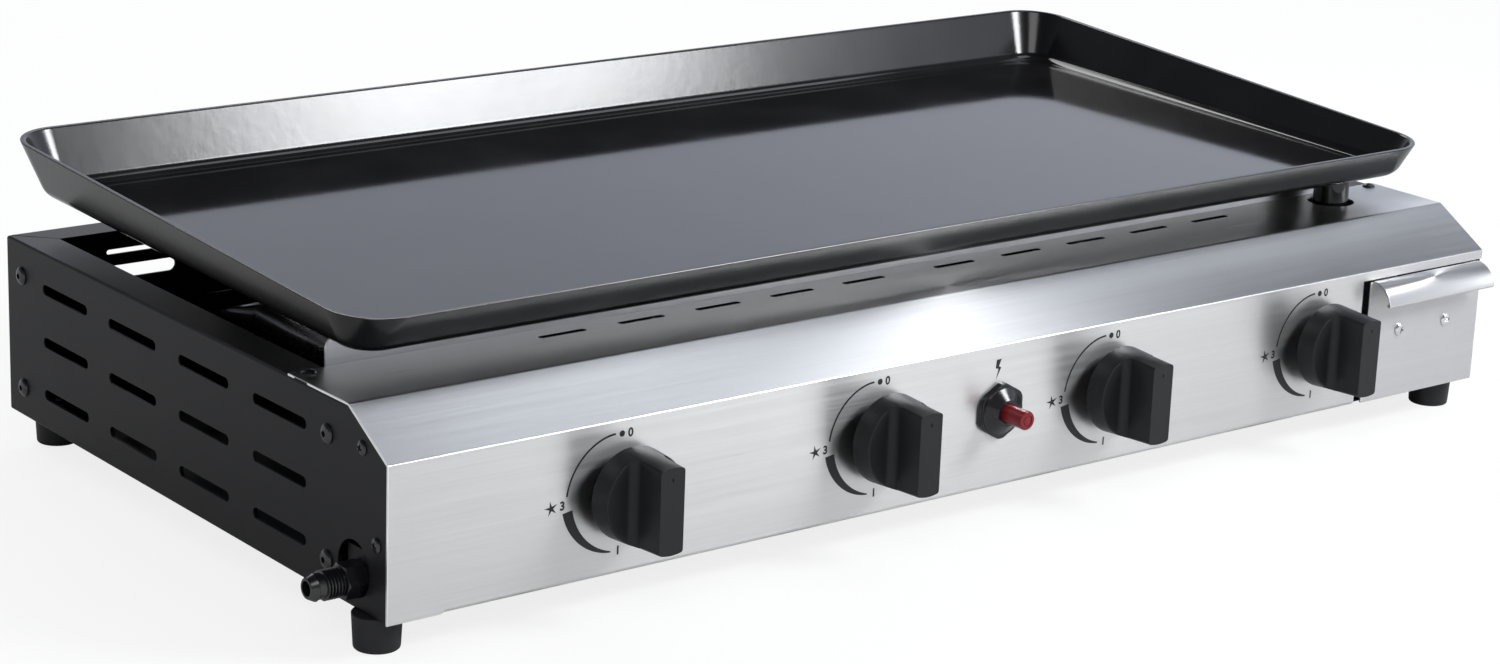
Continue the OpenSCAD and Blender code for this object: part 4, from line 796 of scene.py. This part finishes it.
# %% Mould the grip
def corner_arc(centre_r, centre_l, radius):
    """A quarter of a circle in five steps, for a rounded corner in a lathe's profile."""
    return [(centre_r + radius * math.cos(a), centre_l + radius * math.sin(a)) for a in
            [math.pi / 2 * i / 5 for i in range(6)]]


def knob_base():
    """Turned along +Z, which is forwards here: the knob's back lies at 0."""
    rounded = corner_arc(cone_r(KNOB_BASE) - 1.0, KNOB_BASE - 1.0, 1.0)
    return lathe([(0, 0), (KNOB_R - 0.8, 0), (KNOB_R, 0.8), *rounded, (0, KNOB_BASE)], steps=96)


def knob_grip():
    bm = bmesh.new()
    bmesh.ops.create_circle(bm, cap_ends=True, segments=96, radius=cone_r(GRIP_BACK) - 0.02,
                            matrix=moved(z=GRIP_BACK))
    for side in (-1, 1):
        slice_off(bm, (side * GRIP_W / 2, 0, 0), (side, 0, 0))
    round_corners(bm, [v for v in bm.verts if abs(abs(v.co.x) - GRIP_W / 2) < 1e-3], 1.6, 4)
    front = draw_out(bm, (0, 0, KNOB_L - GRIP_BACK))
    bmesh.ops.scale(bm, vec=(1, KNOB_FRONT_R / cone_r(GRIP_BACK), 1), verts=front)
    round_edges(bm, edges_on(bm, z=KNOB_L), 1.4, 5)
    return bm


# %% Mould the hollow
def knob_hollow():
    reach = GRIP_W / 2 + HOLLOW_R
    bm = block((-reach, -30, KNOB_BASE - 1), (reach, 30, KNOB_BASE + HOLLOW_R))
    for side in (-1, 1):
        bm = cut(bm, rod(HOLLOW_R, 80, "Y", 48, at=(side * reach, -40, KNOB_BASE + HOLLOW_R)))
    turned_to = lathe([(0, 0), (KNOB_R - 0.03, 0), (KNOB_FRONT_R - 0.03, KNOB_L), (0, KNOB_L)], steps=96)
    return cut(bm, turned_to, "INTERSECT")


# %% Join, drill and mark the knob
def knob():
    bm = cut(cut(knob_base(), knob_hollow(), "UNION"), knob_grip(), "UNION")
    bore = rod(BORE_R, 20, at=(0, 0, -0.01))
    slice_off(bore, (0, BORE_FLAT, 0), (0, 1, 0))
    bmesh.ops.holes_fill(bore, edges=[e for e in bore.edges if e.is_boundary])
    bmesh.ops.recalc_face_normals(bore, faces=bore.faces)
    bm = cut(bm, bore)
    wedge = bmesh.new()
    bmesh.ops.create_cone(wedge, cap_ends=True, segments=4, radius1=0.5, radius2=1.5, depth=1.2,
                          matrix=moved(0, 17, KNOB_L + 0.05) @ Matrix.Diagonal((0.7, 1.5, 1, 1)))
    return cut(bm, wedge)


one_knob = knob()
for i, x in enumerate(KNOB_XS, 1):
    bm = stamped(one_knob, [moved(x, -KNOB_BACK, CONTROL_Z) @ FORWARDS])
    piece(bm, f"control_{i}", f"knob_{i}", knob_plastic, [f"knob_{i}"], 32)

# %% [markdown]
# ## The igniter
# A piezo igniter is held by a moulded nut: a rounded hexagon that a spanner fits, with a cone in front that
# carries the red button. The hexagon is a circle of six points drawn forwards, the cone is turned with a
# small step around its foot, and the button is turned with a ring pressed into its end.

# %% Mould the igniter's nut
nut = hexagon(30, 3)
round_edges(nut, [e for e in nut.edges if abs(e.verts[0].co.z - e.verts[1].co.z) > 1], 3.4, 6)
round_edges(nut, edges_on(nut, z=3), 0.9, 4)
collar = lathe([(0, 2), (14.4, 2), (14.4, 3.3), (14.1, 3.6), (13.3, 3.6), (13.0, 3.8), (8.2, 7.6), (7.6, 8.0),
                (6.9, 8.0), (0, 8.0)], steps=72)
nut = cut(nut, collar, "UNION")
for radius, low, high in ((8.05, -1, 5), (5.8, -2, 12)):
    nut = cut(nut, rod(radius, high - low, segments=48, at=(0, 0, low)))
igniter = stamped(nut, [moved(z=CONTROL_Z) @ FORWARDS])
piece(igniter, "igniter_collar", "body", collar_plastic, ["igniter_nut"], 28)

# %% Mould the red button
button = lathe([(0, -10), (3.6, -10), (4, -9.6), (4, 2.7), (6.5, 2.7), (6.5, 4.7), (5.5, 4.7),
                *corner_arc(4.5, 22.5, 1.0), (3.5, 23.5), (3.3, 23.05), (2.5, 23.05), (2.3, 23.4), (0, 23.4)],
               steps=48)
red = stamped(button, [moved(z=CONTROL_Z) @ FORWARDS])
piece(red, "push_button", "igniter_button", button_plastic, ["igniter_button"], 40)

# %% [markdown]
# ## The gas inlet
# The regulator's hose screws onto a fitting at the left: a flared nose, a male thread, a hexagon for the
# spanner and a neck that passes through a bracket to the pipe inside. The plain parts are turned. The
# thread is a small tooth spun about the axis while it moves along, one pitch for each turn.

# %% Turn the inlet
INLET_Y, INLET_Z = 29.9, 35.0
THREAD_R, THREAD_ROOT, PITCH, TURNS = 7.94, 6.8, 1.8, 6
STEPS_PER_TURN = 36
nose = [(4, -428), (5.2, -428), (5.5, -427.7), (7.2, -424.5), (7.3, -424.2), (7.1, -423.9), (6.7, -423.8)]
male = [(6.7, -420.9), (THREAD_ROOT, -420.6), (THREAD_ROOT, -408.5)]
neck = [(7.4, -408.3), (7.4, -396.5), (7.0, -396.4), (7.0, -384), (5.95, -383.9), (5.95, -376.4), (5.6, -376)]
inlet = lathe([*nose, *male, *neck, (4, -376)], "X", 56, closed=True)
tooth = bmesh.new()
profile = [tooth.verts.new((x, r, 0)) for x, r in
           ((-0.6, THREAD_ROOT - 0.5), (-0.12, THREAD_R), (0.12, THREAD_R), (0.6, THREAD_ROOT - 0.5))]
tooth.faces.new(profile)
bmesh.ops.spin(tooth, geom=tooth.verts[:] + tooth.edges[:] + tooth.faces[:], cent=(0, 0, 0), axis=(1, 0, 0),
               dvec=(PITCH / STEPS_PER_TURN, 0, 0), angle=math.tau * TURNS, steps=STEPS_PER_TURN * TURNS,
               use_duplicate=False)
bmesh.ops.recalc_face_normals(tooth, faces=tooth.faces)
stamp(inlet, tooth, moved(-420.1))
chamfer = lathe([(0, 0), (8.4, 0), (9.9, 1.0), (9.9, 11.3), (8.4, 12.3), (0, 12.3)], steps=56)
spanner = cut(cut(hexagon(17, 12.3), chamfer, "INTERSECT"), rod(7.2, 14, segments=48))
stamp(inlet, spanner, moved(-408.8) @ turned(90, "Y"))
fitting = stamped(inlet, [moved(0, INLET_Y, INLET_Z)])
piece(fitting, "hose_fitting", "body", black_steel, ["gas_inlet"], 35)

# %% [markdown]
# ## The drawer's front
# The grease drawer ends in a flat plate that lies on the front, with a lip rolled outwards along its top as
# a handle. The plate is a thin block with soft edges. The lip is a straight edge spun through 80 degrees
# about the roll's middle, thickened like the rest of the sheet, with a bead where the metal is turned under.

# %% Fold the drawer's front
DRAWER_LEFT, DRAWER_RIGHT, DRAWER_Z = 298.0, 399.0, (19.5, 95.9)
DRAWER_SCREWS, DRAWER_SCREW_Z = ((327.5, 20), (369.5, 65)), 62.3
LIP_R, LIP_CENTRE, LIP_INSET, BEAD_R, LIP_TURN = 15.0, (-0.6, 81.5), 3.0, 1.3, 80
plate = block((DRAWER_LEFT, -SHEET, DRAWER_Z[0]), (DRAWER_RIGHT, 0, DRAWER_Z[1]))
for x, degrees in DRAWER_SCREWS:
    plate = cut(plate, rod(SCREW_HOLE, 6, "Y", at=(x, -4, DRAWER_SCREW_Z)))
uprights = [e for e in sharp_edges(plate) if abs(e.verts[0].co.y - e.verts[1].co.y) > 1]
corners = [e for e in uprights if not DRAWER_LEFT + 1 <= e.verts[0].co.x <= DRAWER_RIGHT - 1]
round_edges(plate, corners, 1.2, 4)
round_edges(plate, sharp_edges(plate, lambda co: co.y < -1), 0.4, 3)
lip = bmesh.new()
lip_left, lip_right = DRAWER_LEFT + LIP_INSET, DRAWER_RIGHT - LIP_INSET
start = [lip.verts.new((x, LIP_CENTRE[0], LIP_CENTRE[1] + LIP_R)) for x in (lip_left, lip_right)]
bmesh.ops.spin(lip, geom=[*start, lip.edges.new(start)], cent=(0, *LIP_CENTRE), axis=(1, 0, 0),
               angle=math.radians(LIP_TURN), steps=14, use_merge=False, use_duplicate=False)
thicken(lip, SHEET)
round_edges(lip, sharp_edges(lip), 0.4, 2)
bead_at = turned(LIP_TURN, "X") @ Vector((0, 0, LIP_R - BEAD_R))
bead = rod(BEAD_R, lip_right - lip_left, "X", 20)
round_edges(bead, sharp_edges(bead), 0.6, 3)
stamp(lip, bead, moved(lip_left, LIP_CENTRE[0] + bead_at.y, LIP_CENTRE[1] + bead_at.z))
print("lip spans y", round(min(v.co.y for v in lip.verts), 2), "z", round(min(v.co.z for v in lip.verts), 2),
      "to", round(max(v.co.z for v in lip.verts), 2))
stamp(plate, lip)
piece(plate, "drawer_plate", "drawer", drawer_steel, ["drawer_front"], 35)

bright = stamped(cross, [moved(x, -SHEET, DRAWER_SCREW_Z) @ turned(-90, "X") @ turned(degrees, "Z")
                         for x, degrees in DRAWER_SCREWS])
piece(bright, "drawer_cross_screws", "drawer", bright_screw, ["drawer_screws"], 35)

# %% [markdown]
# ## The rubber feet
# A foot is a moulded rubber cone with a soft edge where it stands, and a recess that hides its screw's head.
# One profile, spun once and closed on itself, gives the outside and the recess together.

# %% Mould the feet
foot = lathe([(2.2, BASE_Z), (12.6, BASE_Z), (13, BASE_Z - 0.4), (12.1, 1.4), (11.9, 0.7), (11.4, 0.2),
              (10.6, 0), (5.6, 0), (5, 0.6), (5, 8), (2.2, 8)], steps=64, closed=True)
feet = stamped(foot, [moved(x, y) for x, y in FEET])
piece(feet, "moulded_feet", "body", foot_rubber, ["rubber_feet"], 35)

# %% [markdown]
# ## The printed dials
# Ink is screen printed on the steel around each knob: a thin line from the dot at the top to the left, and
# a band that narrows towards the bottom, so that the eye reads how high the flame is. The words are left
# off, and plain numbers stand in their places. Each mark is flat and a few hundredths of a millimetre
# thick: a sector is a short edge spun about the knob's axis, and a number is text turned into a mesh.

# %% Draw the marks
INK, CAP_SHARE, BOLDER = 0.05, 0.7, 0.24


def marks_from(bm):
    """Gives a flat mark in X and Y the ink's thickness, standing out of the panel."""
    draw_out(bm, (0, 0, INK))
    return bm


def sector(inner, outer, start, end):
    """A curved line between two angles. The radii are functions of the share of the way along it."""
    bm = bmesh.new()
    pair = [bm.verts.new((r, 0, 0)) for r in (1, 2)]
    bmesh.ops.rotate(bm, matrix=turned(start, "Z"), verts=pair)
    bmesh.ops.spin(bm, geom=[*pair, bm.edges.new(pair)], cent=(0, 0, 0), axis=(0, 0, 1),
                   angle=math.radians(end - start), steps=40, use_merge=False, use_duplicate=False)
    for v in bm.verts:
        turn = (math.degrees(math.atan2(v.co.y, v.co.x)) - start) % 360
        share = min(1.0, (turn if turn < 359 else 0.0) / (end - start))
        v.co = v.co.normalized() * (inner if v.co.length < 1.5 else outer)(share)
    return marks_from(bm)


def star(rays, outer, inner):
    bm = bmesh.new()
    bmesh.ops.create_circle(bm, cap_ends=True, segments=2 * rays, radius=outer)
    bm.verts.ensure_lookup_table()
    bmesh.ops.scale(bm, vec=(inner / outer,) * 3, verts=[v for v in bm.verts if v.index % 2])
    return marks_from(bm)


def number(text, height):
    curve = bpy.data.curves.new("number", "FONT")
    curve.body, curve.size, curve.offset = text, height / CAP_SHARE, BOLDER
    curve.align_x, curve.align_y = "CENTER", "CENTER"
    made = new_object("number", curve)
    mesh = bpy.data.meshes.new_from_object(made.evaluated_get(bpy.context.evaluated_depsgraph_get()))
    bpy.data.objects.remove(made)
    bm = bmesh.new()
    bm.from_mesh(mesh)
    bmesh.ops.remove_doubles(bm, verts=bm.verts, dist=TINY)
    return marks_from(bm)


# %% Print the dials
dial = bmesh.new()
stamp(dial, sector(lambda t: 31.2 + 4.6 * t ** 0.8, lambda t: 32.3 + 4.6 * t ** 0.8, 102, 176))
stamp(dial, sector(lambda t: 33.0, lambda t: 39.2 - 5.4 * t ** 1.3, 189, 256))
dot = bmesh.new()
bmesh.ops.create_circle(dot, cap_ends=True, segments=32, radius=1.7)
stamp(dial, marks_from(dot), moved(-2.6, 30.7))
stamp(dial, star(5, 4.3, 1.25), moved(-45.8, -2.1) @ turned(12, "Z"))
for text, x, y in (("0", 2.8, 30.4), ("3", -38.9, -2.0), ("1", -3.4, -32.6)):
    stamp(dial, number(text, 4.5), moved(x, y))
marks = stamped(dial, [moved(x, 0.01, CONTROL_Z) @ FORWARDS for x in KNOB_XS])
flash = bmesh.new()
zigzag = (-3.9, 29.8), (-4.5, 24.9), (-2.4, 24.3), (-3.9, 18.0), (-0.4, 24.9), (-2.1, 25.9), (-0.3, 29.9)
flash.faces.new([flash.verts.new((x, y, 0)) for x, y in zigzag])
stamp(marks, marks_from(flash), moved(0, 0.01, CONTROL_Z) @ FORWARDS)
piece(marks, "dial_marks", "body", print_ink, (), 30)

# %% [markdown]
# ## The floor
# The camera looks down on a pale studio floor that fills the frame. One big sheet, with a very faint
# mottle, takes the object's soft shadow. It answers the camera with a near white that keeps a light shadow,
# the steel with a softer white that darkens to the right as painted shade in what the steel mirrors, and
# light with a plain pale grey, so that it throws little light upwards.

# %% Floor
sheet = bmesh.new()
bmesh.ops.create_grid(sheet, x_segments=8, y_segments=8, size=30)
floor = object_of(sheet, "floor")
shop = Shop("studio_floor", Roughness=0.9, Specular_IOR_Level=0.1, Emission_Strength=1.0)
seen = shop.node("ShaderNodeLightPath")
mirrored = shop.node("ShaderNodeLightPath", out="Is Glossy Ray")
mottle = shop.noise(400.0, 3.0)
# Painted shade: the floor as the steel mirrors it darkens from left to right, so the steel's right side
# mirrors less light.
card = shop.mix(shop.ramp(shop.along(0), -0.1, 0.75), (0.67, 0.67, 0.67), (0.50, 0.50, 0.50))
plain = shop.mix(mirrored, shop.mix(mottle, (0.70, 0.70, 0.70), (0.74, 0.74, 0.74)), card)
white = shop.mix(mottle, (0.815, 0.815, 0.815), (0.825, 0.825, 0.825))
floor.data.materials.append(shop.set(Base_Color=shop.mix(seen, plain, (0.15, 0.15, 0.15)),
                                     Emission_Color=shop.mix(seen, (0.0, 0.0, 0.0), white)))

# %% [markdown]
# ## Studio light
# Black enamel and steel show the studio more than their own colour. The floor runs into a white sweep, which
# fades upwards on the left, and the ceiling is dark. A large lamp in front on the left lights the whole. A
# soft one in front on the right lies as a bright band on the plate's back wall, a pale card overhead lights
# the slope, and one lamp behind draws the rim's bright edge.

# %% World and lamps
world = bpy.data.worlds.new("studio")
bpy.context.scene.world = world
world.use_nodes = True
sky = Shop.__new__(Shop)
sky.tree = world.node_tree
sky.tree.nodes.clear()
camera_ray, glossy_ray, through_ray = (sky.node("ShaderNodeLightPath", out=f"Is {kind} Ray")
                                       for kind in ("Camera", "Glossy", "Transmission"))
sideways, up = (sky.node("ShaderNodeSeparateXYZ", {0: sky.node("ShaderNodeTexCoord")}, out=i) for i in (0, 2))
sweep = (0.13 + sky.ramp(sideways, -0.25, 0.5) * 0.6 + sky.ramp(sideways, 0.5, 0.8) * 0.3) * (
    1 - sky.ramp(up, 0.4, 0.66) * 0.88)
sweep = sweep.most(1 - sky.ramp(up, 0.08, 0.26))
tint = sky.mix(sky.ramp(up, 0.02, 0.3), (0.98, 0.99, 1.0), (0.93, 0.99, 1.14))
backdrop = sky.mix(camera_ray, sky.mix(sweep, (0.0, 0.0, 0.0), tint), (1.0, 1.0, 1.0))
room = sky.node("ShaderNodeBackground", {"Color": (0.97, 0.98, 1.0), "Strength": 0.55})
shown = sky.node("ShaderNodeBackground", {"Color": backdrop, "Strength": 1.0})
direct = camera_ray.most(glossy_ray).most(through_ray)
both = sky.node("ShaderNodeMixShader", {0: direct, 1: room, 2: shown})
sky.tree.links.new(both.socket, sky.tree.nodes.new("ShaderNodeOutputWorld").inputs["Surface"])


def lamp(name, at, towards, size, watts, colour=(1.0, 1.0, 1.0)):
    data = bpy.data.lights.new(name, "AREA")
    data.shape, data.size, data.size_y = "RECTANGLE", *size
    data.energy, data.color = watts, colour
    made = new_object(name, data)
    made.location = at
    made.rotation_euler = (Vector(towards) - Vector(at)).to_track_quat("-Z", "Y").to_euler()


lamp("band", (0.97, -1.17, 1.15), (-0.05, 0.2, 0.17), (0.54, 0.54), 27, (0.98, 1.0, 1.02))
lamp("key", (-1.6, -2.2, 2.6), (0, 0, 0.1), (1.6, 1.2), 20)
lamp("card", (0.98, 0.05, 1.74), (0, -0.17, 0.1), (0.52, 0.9), 2.8, (0.95, 1.0, 1.08))
lamp("rim", (0.6, 2.4, 2.2), (0, 0, 0.1), (2.4, 0.7), 26)

# %% [markdown]
# ## The camera
# Its place and lens were solved from the body's corners in the photograph: about two metres away, a long
# lens, looking down sixteen degrees on the front left corner, with a slight roll.

# %% Camera
YAW, DOWN, ROLL = (math.radians(a) for a in (38.4125, 16.481, 2.2425))
EYE, LENS_MM = (-1.24141, -1.543595, 0.64885), 83.196
looks = Vector((math.sin(YAW) * math.cos(DOWN), math.cos(YAW) * math.cos(DOWN), -math.sin(DOWN)))
level = Vector((math.cos(YAW), -math.sin(YAW), 0))
above = level.cross(looks)
right = math.cos(ROLL) * level + math.sin(ROLL) * above
upright = -math.sin(ROLL) * level + math.cos(ROLL) * above
lens = bpy.data.cameras.new("camera")
lens.sensor_fit, lens.sensor_width, lens.lens = "HORIZONTAL", 36.0, LENS_MM
lens.clip_start, lens.clip_end = 0.05, 100.0
camera = new_object("camera", lens)
camera.matrix_world = Matrix.Translation(EYE) @ Matrix((right, upright, -looks)).transposed().to_4x4()
bpy.context.scene.camera = camera
bpy.context.scene.view_settings.view_transform = "Standard"
